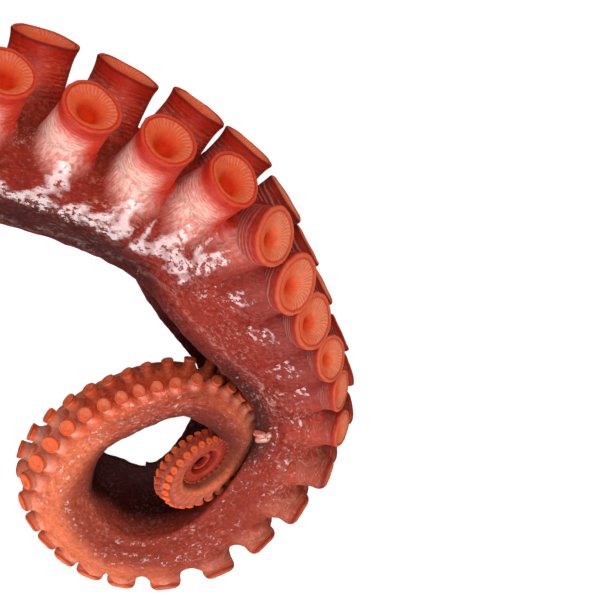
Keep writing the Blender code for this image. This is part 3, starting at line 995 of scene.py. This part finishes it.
class Graph:
    """Shorthand for a node tree: adds nodes and links them by socket name."""

    def __init__(self, tree: bpy.types.NodeTree) -> None:
        """Work on a tree."""
        self.tree = tree

    def add(self, kind: str, settings: dict | None = None, **inputs: object) -> bpy.types.Node:
        """Add a node.

        Args:
            kind: the node's type name.
            settings: properties of the node itself.
            inputs: values or sockets for its inputs, with _ for a space in their names.

        Returns:
            The new node.
        """
        node = self.tree.nodes.new(kind)
        for key, value in (settings or {}).items():
            setattr(node, key, value)
        for key, value in inputs.items():
            self.feed(node.inputs[key.replace("_", " ")], value)
        return node

    def feed(self, socket: bpy.types.NodeSocket, value: object) -> None:
        """Link a socket to another one, or set its value."""
        if isinstance(value, bpy.types.NodeSocket):
            self.tree.links.new(value, socket)
        elif isinstance(value, tuple) and len(value) == 3 and socket.type == "RGBA":
            socket.default_value = (*value, 1.0)
        else:
            socket.default_value = value

    def math(self, operation: str, a: object, b: object = 0.0, clamp: bool = False) -> bpy.types.NodeSocket:
        """Do a sum with one or two numbers."""
        node = self.add("ShaderNodeMath", {"operation": operation, "use_clamp": clamp})
        self.feed(node.inputs[0], a)
        self.feed(node.inputs[1], b)
        return node.outputs[0]

    def mix(self, share: object, a: object, b: object, blend: str = "MIX") -> bpy.types.NodeSocket:
        """Mix two colours."""
        node = self.add("ShaderNodeMix", {"data_type": "RGBA", "blend_type": blend})
        self.feed(node.inputs["Factor"], share)
        self.feed(node.inputs[6], a)
        self.feed(node.inputs[7], b)
        return node.outputs[2]

    def span(self, value: object, start: float, end: float, low: float = 0.0, high: float = 1.0) -> bpy.types.NodeSocket:
        """Turn the span from start to end smoothly into low to high."""
        node = self.add("ShaderNodeMapRange", {"interpolation_type": "SMOOTHSTEP"})
        for socket, given in zip(node.inputs, (value, start, end, low, high)):
            self.feed(socket, given)
        return node.outputs[0]

    def attribute(self, name: str, vector: bool = False) -> bpy.types.NodeSocket:
        """Read an attribute of the mesh."""
        node = self.add("ShaderNodeAttribute", {"attribute_name": name})
        return node.outputs["Vector" if vector else "Fac"]

    def noise(self, vector: object, scale: float, detail: float = 2.0, roughness: float = 0.5) -> bpy.types.NodeSocket:
        """Read noise at a vector."""
        node = self.add("ShaderNodeTexNoise", None, Vector=vector, Scale=scale, Detail=detail, Roughness=roughness)
        return node.outputs["Fac"]

    def radial(self, count: float) -> bpy.types.NodeSocket:
        """Give a wave from -1 to 1 that goes the given number of times round a cup."""
        cup = self.add("ShaderNodeSeparateXYZ", None, Vector=self.attribute("cup", vector=True))
        turn = self.math("ARCTAN2", cup.outputs[1], cup.outputs[0])
        uneven = self.math("MULTIPLY", self.noise(self.attribute("cup", vector=True), 3.0, 2.0, 0.5), 9.0)
        return self.math("SINE", self.math("ADD", self.math("MULTIPLY", turn, count), uneven))

    def hump(self, value: object, middle: float, half: float) -> bpy.types.NodeSocket:
        """Give 1 at the middle value, falling smoothly to 0 at half the width."""
        away = self.math("ABSOLUTE", self.math("SUBTRACT", value, middle))
        return self.span(away, 0.0, half, 1.0, 0.0)


def new_group(name: str, inputs: dict[str, str], outputs: dict[str, str]) -> tuple[bpy.types.NodeTree, Graph, bpy.types.Node, bpy.types.Node]:
    """Make a shader node group.

    Args:
        name: the group's name.
        inputs: the names and socket types of what goes in.
        outputs: the names and socket types of what comes out.

    Returns:
        The group, its graph, and its input and output nodes.
    """
    tree = bpy.data.node_groups.new(name, "ShaderNodeTree")
    for label, kind in inputs.items():
        tree.interface.new_socket(name=label, in_out="INPUT", socket_type=kind)
    for label, kind in outputs.items():
        tree.interface.new_socket(name=label, in_out="OUTPUT", socket_type=kind)
    graph = Graph(tree)
    return tree, graph, graph.add("NodeGroupInput"), graph.add("NodeGroupOutput")


def scaled(graph: Graph, vector: object, scale: tuple[float, float, float]) -> bpy.types.NodeSocket:
    """Stretch a vector by a number for each axis."""
    node = graph.add("ShaderNodeVectorMath", {"operation": "MULTIPLY"})
    graph.feed(node.inputs[0], vector)
    node.inputs[1].default_value = scale
    return node.outputs[0]


def wet_relief_group() -> bpy.types.NodeTree:
    """Make the relief of wet skin, in millimetres, and the broken film of broth that lies on it."""
    number, vector = "NodeSocketFloat", "NodeSocketVector"
    tree, graph, given, result = new_group(
        "wet_relief",
        {"Place": vector, "Straight": vector, "Film": number, "Swell": number, "Wrinkles": number, "Grain": number},
        {"Height": number, "Wet": number},
    )
    place, straight = given.outputs["Place"], given.outputs["Straight"]
    swell = graph.noise(scaled(graph, straight, (0.8, 1.0, 1.0)), 0.24, 2.0, 0.5)
    wrinkles = graph.noise(scaled(graph, straight, (0.3, 1.0, 1.0)), 1.2, 3.0, 0.6)
    grain = graph.noise(place, 1500.0, 2.0, 0.6)
    islands = graph.noise(scaled(graph, straight, (0.8, 1.0, 1.0)), 0.8, 6.0, 0.62)
    lift = graph.math("MULTIPLY", graph.math("SUBTRACT", given.outputs["Film"], 1.0), 0.16)
    wet = graph.span(graph.math("ADD", islands, lift), 0.456, 0.468)
    wet = graph.math("MULTIPLY", wet, graph.span(given.outputs["Film"], 0.02, 0.16))
    rest = graph.span(wet, 0.0, 1.0, 1.0, 0.15)
    height = graph.math("MULTIPLY", wrinkles, given.outputs["Wrinkles"])
    height = graph.math("ADD", height, graph.math("MULTIPLY", grain, given.outputs["Grain"]))
    height = graph.math("MULTIPLY", height, rest)
    height = graph.math("ADD", height, graph.math("MULTIPLY", swell, given.outputs["Swell"]))
    graph.feed(result.inputs["Height"], height)
    graph.feed(result.inputs["Wet"], wet)
    return tree


def mottle_group() -> bpy.types.NodeTree:
    """Make the skin's blotches, small dark spots and fine pale flecks that are partly painted glints."""
    number, vector = "NodeSocketFloat", "NodeSocketVector"
    outputs = {"Blotches": number, "Spots": number, "Flecks_and_glints": number, "Grain": number}
    tree, graph, given, result = new_group("mottle", {"Place": vector, "Straight": vector}, outputs)
    place = given.outputs["Place"]
    graph.feed(result.inputs["Blotches"], graph.span(graph.noise(place, 130.0, 4.0, 0.6), 0.38, 0.66))
    spots = graph.add("ShaderNodeTexVoronoi", None, Vector=place, Scale=480.0)
    graph.feed(result.inputs["Spots"], graph.span(spots.outputs["Distance"], 0.24, 0.08))
    # Fine pale flecks, partly painted glints.
    flecks_and_glints = graph.noise(scaled(graph, given.outputs["Straight"], (0.55, 1.0, 1.0)), 1.3, 4.0, 0.72)
    clusters = graph.span(graph.noise(place, 75.0, 3.0, 0.6), 0.42, 0.58, 0.2, 1.0)
    graph.feed(result.inputs["Flecks_and_glints"], graph.math("MULTIPLY", graph.span(flecks_and_glints, 0.5, 0.68), clusters))
    graph.feed(result.inputs["Grain"], graph.noise(place, 800.0, 4.0, 0.7))
    return tree


@dataclass(frozen=True)
class SkinFinish:
    """Cooked octopus skin: brick red with plum blotches, paler stalks and orange cups, with painted highlights on the
    stalks' lit side, along the ridge's edge and in glints, and painted shade between the stalks, on the back and in the
    tip's curl.
    """

    brick: Colour = to_linear(146, 42, 28)
    rose: Colour = to_linear(150, 56, 38)
    coral: Colour = to_linear(212, 108, 72)
    plum: Colour = to_linear(96, 28, 26)
    # Near black for the back's darker skin, deepened with painted shade.
    dark_back_and_shade: Colour = to_linear(46, 8, 6)
    # Pale pink of the stalks' skin, also used for painted highlights and glints.
    pale_pink_and_highlight: Colour = to_linear(236, 196, 182)
    membrane: Colour = to_linear(214, 98, 60)
    ember: Colour = to_linear(206, 50, 26)
    brick_stalk: Colour = to_linear(188, 52, 28)
    tangerine: Colour = to_linear(222, 96, 46)
    # Deep red used as painted shade between the stalks, in the cups' groove and in the tip's curl.
    deep_red_shade: Colour = to_linear(150, 16, 8)
    spot: Colour = to_linear(84, 24, 24)
    collar: Colour = to_linear(176, 38, 20)
    cup_rim: Colour = to_linear(196, 66, 40)
    cup_floor: Colour = to_linear(214, 86, 46)
    peach: Colour = to_linear(206, 110, 74)
    cup_pit: Colour = to_linear(202, 46, 10)
    margin: Colour = to_linear(84, 22, 16)
    flesh: Colour = to_linear(236, 202, 190)
    dry: float = 0.95
    satin: float = 0.45
    damp: float = 0.22
    wet: float = 0.10

    def make(self) -> bpy.types.Material:
        """Build the material.

        Returns:
            The material, for the meat and the suckers alike.
        """
        material = bpy.data.materials.new("cooked_skin")
        material.use_nodes = True
        graph = Graph(material.node_tree)
        shader = material.node_tree.nodes["Principled BSDF"]
        place = graph.add("ShaderNodeTexCoord").outputs["Object"]
        straight = graph.attribute("straight", vector=True)
        zone, stalk, upper = (graph.attribute(name) for name in ("zone", "stalk", "upper_row"))
        mottle = graph.add("ShaderNodeGroup", {"node_tree": mottle_group()}, Place=place, Straight=straight)
        bare = graph.math("SUBTRACT", 1.0, graph.math("MAXIMUM", graph.span(stalk, 0.15, 0.9), graph.span(zone, 0.5, 0.8)))
        colour = self.skin(graph, mottle)
        given = {"place": place, "straight": straight, "zone": zone, "stalk": stalk, "upper": upper}
        colour = self.stalks(graph, given, mottle, colour)
        colour = self.cups(graph, colour, zone, upper)
        colour = self.cut(graph, colour, place)
        grain = graph.math("SUBTRACT", mottle.outputs["Grain"], 0.5)
        grain = graph.math("MULTIPLY", grain, graph.span(bare, 0.0, 1.0, 0.7, 1.2))
        grain = graph.math("ADD", grain, 1.0)
        value = graph.add("ShaderNodeHueSaturation", None, Color=colour, Value=grain)
        graph.feed(shader.inputs["Base Color"], value.outputs["Color"])
        self.surface(graph, shader, given)
        shader.inputs["Subsurface Weight"].default_value = 0.5
        shader.inputs["Subsurface Radius"].default_value = (1.0, 0.25, 0.12)
        shader.inputs["Subsurface Scale"].default_value = 0.004
        shader.inputs["Specular IOR Level"].default_value = 0.16
        shader.inputs["Coat Roughness"].default_value = 0.12
        shader.inputs["Coat IOR"].default_value = 1.6
        return material

    def surface(self, graph: Graph, shader: bpy.types.Node, given: dict[str, object]) -> None:
        """Set the gloss and the relief.

        Args:
            graph: the material's graph.
            shader: its shader.
            given: the sockets of place, straight, zone, stalk and upper.
        """
        in_cup = graph.span(given["zone"], 0.86, 1.1)
        bare = graph.math("SUBTRACT", 1.0, graph.math("MAXIMUM", graph.span(given["stalk"], 0.15, 0.9), in_cup))
        film = graph.attribute("film")
        relief = graph.add(
            "ShaderNodeGroup", {"node_tree": wet_relief_group()}, Place=given["place"], Straight=given["straight"]
        )
        graph.feed(relief.inputs["Film"], graph.math("MULTIPLY", film, graph.span(bare, 0.0, 0.4, 0.0, 1.0)))
        graph.feed(relief.inputs["Swell"], graph.span(bare, 0.0, 1.0, 0.1, 0.38))
        wrinkles = graph.math("MULTIPLY", graph.span(bare, 0.0, 1.0, 0.5, 1.0), graph.span(film, 0.3, 0.95, 0.26, 0.55))
        graph.feed(relief.inputs["Wrinkles"], wrinkles)
        graph.feed(relief.inputs["Grain"], graph.span(in_cup, 0.0, 1.0, 0.16, 0.06))
        damp = graph.span(film, 0.35, 0.95, self.dry, self.damp)
        satin = graph.span(graph.attribute("pale"), 0.1, 0.7, 0.8, self.satin)
        skin = graph.span(bare, 0.0, 0.8, satin, damp)
        graph.feed(shader.inputs["Roughness"], graph.span(relief.outputs["Wet"], 0.0, 1.0, skin, self.wet))
        coat = graph.math("MULTIPLY", relief.outputs["Wet"], graph.span(film, 0.2, 0.8, 0.25, 0.8))
        graph.feed(shader.inputs["Coat Weight"], coat)
        height = graph.math("ADD", relief.outputs["Height"], self.ridges(graph, given["zone"]))
        folds = graph.math("MULTIPLY", self.folds(graph, given["zone"], given["place"]), 0.07)
        height = graph.math("ADD", height, folds)
        bumped = graph.add("ShaderNodeBump", None, Strength=1.0, Distance=0.001, Height=height)
        graph.feed(shader.inputs["Normal"], bumped.outputs["Normal"])

    def skin(self, graph: Graph, mottle: bpy.types.Node) -> bpy.types.NodeSocket:
        """Colour the bare skin.

        Args:
            graph: the material's graph.
            mottle: the blotches and spots.

        Returns:
            The colour of the arm without its suckers.
        """
        warm = graph.attribute("warm")
        blotches = mottle.outputs["Blotches"]
        colour = graph.mix(graph.span(warm, 0.0, 0.4), self.brick, self.rose)
        colour = graph.mix(graph.span(warm, 0.4, 1.0), colour, self.coral)
        plum = graph.math("MULTIPLY", graph.attribute("plum"), graph.span(blotches, 0.0, 1.0, 0.72, 1.0))
        plum = graph.math("MAXIMUM", plum, graph.math("MULTIPLY", graph.span(blotches, 0.5, 1.0), 0.16))
        colour = graph.mix(plum, colour, self.plum)
        colour = graph.mix(graph.attribute("membrane"), colour, self.membrane)
        # The back darkens to near black: darker skin together with painted shade.
        colour = graph.mix(graph.attribute("dark"), colour, self.dark_back_and_shade)
        # A thin painted highlight along the ridge's edge, broken by grain.
        lip = graph.math("MULTIPLY", graph.attribute("lip"), graph.span(mottle.outputs["Grain"], 0.42, 0.56))
        colour = graph.mix(graph.math("MULTIPLY", lip, 0.75), colour, self.pale_pink_and_highlight)
        # Pale flecks on the skin, partly painted glints.
        flecks_and_glints = graph.math("MULTIPLY", mottle.outputs["Flecks_and_glints"], graph.attribute("wisped"))
        colour = graph.mix(flecks_and_glints, colour, self.pale_pink_and_highlight)
        return graph.mix(graph.math("MULTIPLY", mottle.outputs["Spots"], 0.35), colour, self.spot)

    def stalks(
        self, graph: Graph, given: dict[str, object], mottle: bpy.types.Node, colour: object
    ) -> bpy.types.NodeSocket:
        """Colour the suckers' stalks, with a painted highlight on their lit side, and paint shade in the folds between
        them and in the tip's curl.

        Args:
            graph: the material's graph.
            given: the sockets of place, straight, zone, stalk and upper.
            mottle: the blotches and spots.
            colour: the bare skin's colour.

        Returns:
            The colour with the stalks in it.
        """
        place, straight, zone, stalk, upper = given.values()
        on_stalk = graph.span(stalk, 0.2, 0.85)
        warm = graph.attribute("warm")
        flesh = graph.mix(upper, self.brick_stalk, self.ember)
        folded = graph.attribute("folded")
        pads = self.pads(graph)
        flesh = graph.mix(graph.math("MAXIMUM", folded, pads), flesh, graph.mix(pads, self.brick, self.rose))
        flesh = graph.mix(graph.math("MULTIPLY", folded, 0.75), flesh, self.plum)
        flesh = graph.mix(graph.span(warm, 0.1, 0.9), flesh, self.tangerine)
        rings = graph.noise(scaled(graph, straight, (0.5, 0.5, 1.8)), 1.2, 4.0, 0.68)
        streaks = graph.span(rings, 0.36, 0.6, 0.42, 1.0)
        mottled = graph.math("MULTIPLY", graph.span(mottle.outputs["Blotches"], 0.2, 0.9), graph.span(upper, 0.0, 1.0, 0.45, 0.1))
        flesh = graph.mix(mottled, flesh, self.plum)
        threads = graph.math("MULTIPLY", graph.span(rings, 0.52, 0.7), graph.span(folded, 0.0, 0.7, 0.2, 0.06))
        flesh = graph.mix(threads, flesh, self.pale_pink_and_highlight)
        colour = graph.mix(graph.math("MULTIPLY", on_stalk, 0.95), colour, flesh)
        # The stalk's lit side is paler skin with a painted highlight, broken by streaks.
        pale = graph.math("MULTIPLY", on_stalk, graph.span(graph.attribute("facing"), 0.15, 0.85))
        pale = graph.math("MULTIPLY", pale, streaks)
        pale = graph.math("MULTIPLY", pale, graph.span(upper, 0.0, 1.0, 0.12, 1.0))
        later = graph.math("MULTIPLY", graph.span(warm, 0.6, 1.0, 0.0, 0.55), on_stalk)
        pale = graph.math("MAXIMUM", pale, later)
        pale = graph.math("MULTIPLY", pale, graph.span(zone, 0.84, 0.62))
        colour = graph.mix(graph.math("MULTIPLY", pale, graph.attribute("pale")), colour, self.pale_pink_and_highlight)
        folds = graph.math("MULTIPLY", graph.span(self.folds(graph, zone, place), 0.1, 0.9), folded)
        colour = graph.mix(graph.math("MULTIPLY", folds, 0.3), colour, self.pale_pink_and_highlight)
        # Painted shade in the folds between the stalks.
        colour = graph.mix(graph.math("MULTIPLY", graph.attribute("crease"), 0.45), colour, self.deep_red_shade)
        # Painted shade deepening the tip's curl towards its end.
        return graph.mix(graph.span(graph.attribute("along"), 338.0, 376.0, 0.0, 0.7), colour, self.deep_red_shade)

    def cups(self, graph: Graph, colour: object, zone: object, upper: object) -> bpy.types.NodeSocket:
        """Colour the suckers from under the rim to the middle of the cup, with the cup's side that faces the light
        painted paler and a line of painted shade in the groove inside the rim.

        Args:
            graph: the material's graph.
            colour: the stalk's colour below the rim.
            zone: where a point lies between the foot, the rim and the cup's middle.
            upper: 1 on the upper row.

        Returns:
            The colour with the cups in it.
        """
        along, warm = graph.attribute("along"), graph.attribute("warm")
        small = graph.span(warm, 0.5, 1.0)
        later = graph.span(along, 70.0, 82.0)
        pads = self.pads(graph)
        alike = graph.math("MULTIPLY", graph.math("MAXIMUM", graph.math("MAXIMUM", small, pads), later), 0.75)
        rim = graph.mix(graph.span(zone, 0.72, 0.86), colour, graph.mix(alike, self.collar, colour))
        crest = graph.mix(graph.math("MULTIPLY", later, 0.45), self.cup_rim, self.peach)
        rim = graph.mix(graph.span(zone, 0.90, 0.97), rim, graph.mix(small, crest, self.tangerine))
        margin = graph.math("MULTIPLY", graph.hump(zone, 0.925, 0.05), graph.span(upper, 0.0, 1.0, 0.8, 0.0))
        edge = graph.math("MULTIPLY", graph.hump(zone, 0.84, 0.09), graph.math("MULTIPLY", pads, 0.6))
        rim = graph.mix(graph.math("MAXIMUM", margin, edge), rim, self.margin)
        # A deep red line in the groove inside the rim, partly painted shade.
        ring = graph.math("MULTIPLY", graph.hump(zone, 1.06, 0.07), graph.span(small, 0.0, 1.0, 0.5, 0.2))
        rim = graph.mix(ring, rim, self.deep_red_shade)
        # The cup's inner side that faces the light is painted paler, and its pale ridges are painted there alone.
        lit_half = graph.span(graph.attribute("facing"), 0.7, -0.5, 0.1, 1.0)
        inner = graph.mix(graph.span(later, 0.0, 1.0, 0.25, 0.8), self.cup_floor, self.peach)
        inner = graph.mix(lit_half, self.cup_floor, inner)
        rays = graph.span(graph.radial(34.0), 0.3, 1.0, 0.0, 0.18)
        inner = graph.mix(graph.math("MULTIPLY", rays, lit_half), inner, self.pale_pink_and_highlight)
        inner = graph.mix(small, inner, self.tangerine)
        floor = graph.mix(graph.span(zone, 1.07, 1.15), rim, inner)
        deeper = graph.math("SUBTRACT", zone, graph.math("MULTIPLY", later, 0.22))
        floor = graph.mix(graph.span(deeper, 1.28, 1.5), floor, self.cup_floor)
        shown = graph.span(small, 0.0, 1.0, 1.0, 0.35)
        return graph.mix(graph.math("MULTIPLY", graph.span(deeper, 1.45, 1.72), shown), floor, self.cup_pit)

    def pads(self, graph: Graph) -> bpy.types.NodeSocket:
        """Give 1 where the upper row's suckers are low pads of the skin's own colour."""
        along = graph.attribute("along")
        return graph.math("MULTIPLY", graph.span(along, 128.0, 144.0), graph.span(along, 256.0, 240.0))

    def cut(self, graph: Graph, colour: object, place: object) -> bpy.types.NodeSocket:
        """Colour the cut root: pale muscle with a thin dark skin and the nerve cord in its middle."""
        inside = graph.attribute("cut")
        cord = graph.add("ShaderNodeVectorMath", {"operation": "DISTANCE"})
        graph.feed(cord.inputs[0], place)
        cord.inputs[1].default_value = tuple(MiddleLine().frames(0.0).middle[0] * MM)
        away = cord.outputs["Value"]
        muscle = graph.mix(graph.math("MULTIPLY", graph.hump(away, 0.0062, 0.0016), 0.35), self.flesh, self.pale_pink_and_highlight)
        muscle = graph.mix(graph.math("MULTIPLY", graph.hump(away, 0.0022, 0.0006), 0.55), muscle, self.rose)
        return graph.mix(graph.span(inside, 0.02, 0.07), colour, muscle)

    def ridges(self, graph: Graph, zone: object) -> bpy.types.NodeSocket:
        """Give the cup's radial ridges as a height in millimetres."""
        wave = graph.radial(34.0)
        shown = graph.math("MULTIPLY", graph.hump(zone, 1.24, 0.22), 0.035)
        return graph.math("MULTIPLY", wave, shown)

    def folds(self, graph: Graph, zone: object, place: object) -> bpy.types.NodeSocket:
        """Give the fine folds round a stalk, from -1 to 1."""
        shift = graph.math("MULTIPLY", graph.noise(place, 160.0, 2.0, 0.5), 9.0)
        wave = graph.math("SINE", graph.math("ADD", graph.math("MULTIPLY", zone, 140.0), shift))
        shown = graph.math("MULTIPLY", graph.span(zone, 0.32, 0.42), graph.span(zone, 0.86, 0.80))
        return graph.math("MULTIPLY", wave, shown)


@dataclass(frozen=True)
class FlapFinish:
    """The bared flesh of the torn skin flap: pinkish white with redder streaks."""

    bared: Colour = to_linear(192, 132, 114)
    reddened: Colour = to_linear(168, 80, 64)

    def make(self) -> bpy.types.Material:
        """Build the material of the flap."""
        material = bpy.data.materials.new("bared_flesh")
        material.use_nodes = True
        graph = Graph(material.node_tree)
        shader = material.node_tree.nodes["Principled BSDF"]
        place = graph.add("ShaderNodeTexCoord").outputs["Object"]
        patches = graph.span(graph.noise(place, 420.0, 3.0, 0.6), 0.40, 0.60)
        graph.feed(shader.inputs["Base Color"], graph.mix(patches, self.bared, self.reddened))
        bumped = graph.add("ShaderNodeBump", None, Strength=0.6, Distance=0.0003, Height=graph.noise(place, 900.0))
        graph.feed(shader.inputs["Normal"], bumped.outputs["Normal"])
        shader.inputs["Roughness"].default_value = 0.3
        shader.inputs["Subsurface Weight"].default_value = 0.4
        shader.inputs["Subsurface Radius"].default_value = (1.0, 0.4, 0.25)
        shader.inputs["Subsurface Scale"].default_value = 0.002
        return material


@dataclass(frozen=True)
class Lobe:
    """One rounded lobe of the skin flap, in millimetres and degrees."""

    middle: tuple[float, float, float]
    half_sizes: tuple[float, float, float]
    turn_deg: float


@dataclass(frozen=True)
class SkinFlap:
    """The small torn flap of skin on the arm's side, beside the coil."""

    lobes: tuple[Lobe, ...] = (
        Lobe((-32.6, 29.0, 18.8), (2.5, 1.3, 0.8), 14.0),
        Lobe((-31.6, 27.3, 19.3), (1.9, 1.2, 0.8), -24.0),
        Lobe((-34.0, 27.6, 19.3), (1.2, 0.9, 0.6), 50.0),
    )

    def model(self) -> bpy.types.Object:
        """Lay the lobes against each other and join them.

        Returns:
            The flap.
        """
        made = []
        for lobe in self.lobes:
            deselect()
            bpy.ops.mesh.primitive_uv_sphere_add(segments=28, ring_count=18, radius=1.0)
            ball = bpy.context.active_object
            turn = math.radians(lobe.turn_deg)
            flat = read_points(ball.data)
            flat = flat * (1.0 + 0.05 * np.sin(5.0 * flat[:, :1]) * np.cos(4.0 * flat[:, 1:2]))
            sized = flat * np.asarray(lobe.half_sizes)
            turned = np.array(((math.cos(turn), -math.sin(turn), 0.0), (math.sin(turn), math.cos(turn), 0.0), (0, 0, 1)))
            write_points(ball.data, (sized @ turned.T + np.asarray(lobe.middle)) * MM)
            made.append(ball)
        deselect()
        for ball in made:
            ball.select_set(True)
        bpy.context.view_layer.objects.active = made[0]
        bpy.ops.object.join()
        flap = bpy.context.active_object
        flap.name = "skin_flap"
        bpy.ops.object.shade_smooth()
        return flap


@dataclass(frozen=True)
class Studio:
    """The pale floor, the soft lights and the camera."""

    target: tuple[float, float, float] = (-0.042, -0.009, 0.012)
    elevation_deg: float = 58.0
    distance: float = 0.41667
    lens: float = 100.0

    def floor(self) -> bpy.types.Object:
        """Lay a plain pale floor."""
        deselect()
        bpy.ops.mesh.primitive_plane_add(size=6.0, location=(0.0, 0.0, 0.0))
        made = bpy.context.active_object
        made.name = "floor"
        material = bpy.data.materials.new("pale_floor")
        material.use_nodes = True
        shader = material.node_tree.nodes["Principled BSDF"]
        shader.inputs["Base Color"].default_value = (0.25, 0.25, 0.25, 1.0)
        shader.inputs["Roughness"].default_value = 0.9
        shader.inputs["Specular IOR Level"].default_value = 0.0
        shader.inputs["Emission Color"].default_value = (1.0, 1.0, 1.0, 1.0)
        shader.inputs["Emission Strength"].default_value = 0.94
        made.data.materials.append(material)
        made.visible_diffuse = False
        made.visible_glossy = False
        return made

    def light(self, name: str, where: tuple[float, float, float], size: float, radiance: float) -> bpy.types.Object:
        """Hang a square soft light that faces the arm.

        Args:
            name: the light's name.
            where: its place in metres.
            size: the length of its sides.
            radiance: how bright its face looks.

        Returns:
            The light.
        """
        deselect()
        bpy.ops.object.light_add(type="AREA", location=where)
        made = bpy.context.active_object
        made.name = name
        made.data.shape = "SQUARE"
        made.data.size = size
        made.data.energy = radiance * math.pi * size * size
        made.rotation_euler = (-Vector(where)).to_track_quat("-Z", "Y").to_euler()
        return made

    def camera(self) -> None:
        """Set the camera up, with the far side of the coil at the bottom of the view."""
        angle = math.radians(self.elevation_deg)
        back = Vector((0.0, -math.cos(angle), math.sin(angle)))
        across = Vector((-1.0, 0.0, 0.0))
        bpy.ops.object.camera_add(location=Vector(self.target) + back * self.distance)
        made = bpy.context.active_object
        made.name = "camera"
        made.rotation_euler = Matrix((across, back.cross(across), back)).transposed().to_euler()
        made.data.lens = self.lens
        made.data.sensor_width = 36.0
        made.data.clip_start = 0.01
        bpy.context.scene.camera = made

    def build(self) -> None:
        """Set up the floor, the lights, the sky and the camera."""
        self.floor()
        self.light("soft_box", (-0.02, 0.53, 0.99), 0.54, 5.8)
        sheen = self.light("sheen_box", (-0.02, 0.56, 1.05), 0.95, 5.4)
        sheen.visible_diffuse = False
        self.light("side_box", (0.80, 0.52, 0.34), 0.5, 7.5)
        fill = self.light("front_fill", (-0.3, -0.8, 0.8), 1.0, 3.0)
        fill.visible_glossy = False
        world = bpy.data.worlds.new("studio")
        bpy.context.scene.world = world
        world.use_nodes = True
        world.node_tree.nodes["Background"].inputs["Color"].default_value = (1.0, 1.0, 1.0, 1.0)
        world.node_tree.nodes["Background"].inputs["Strength"].default_value = 0.5
        world.cycles_visibility.glossy = False
        bpy.context.scene.view_settings.view_transform = "Standard"
        self.camera()


@dataclass
class OctopusArm:
    """The whole arm: its meat and its suckers, dressed and bound to the frame."""

    line: MiddleLine = field(default_factory=MiddleLine)
    shape: MeatShape = field(default_factory=MeatShape)
    plan: SuckerPlan = field(default_factory=SuckerPlan)
    finish: SkinFinish = field(default_factory=SkinFinish)

    def build(self) -> None:
        """Model, dress and bind every piece."""
        skin = self.finish.make()
        suckers = self.plan.place(self.line, self.shape)
        pieces = [Meat(self.line, self.shape, suckers).model()]
        pieces += SuckerRows(self.line, suckers).model()
        flap = SkinFlap().model()
        finishes = {flap: FlapFinish().make()}
        for piece in (*pieces, flap):
            piece.data.materials.clear()
            piece.data.materials.append(finishes.get(piece, skin))
            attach(piece, BODY)
            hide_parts(CAD_NODE)
            LOG.info("%s: %d faces", piece.name, len(piece.data.polygons))


def main() -> None:
    """Build the arm and the studio round it."""
    logging.basicConfig(level=logging.INFO)
    OctopusArm().build()
    Studio().build()


if __name__ == "__main__":
    main()
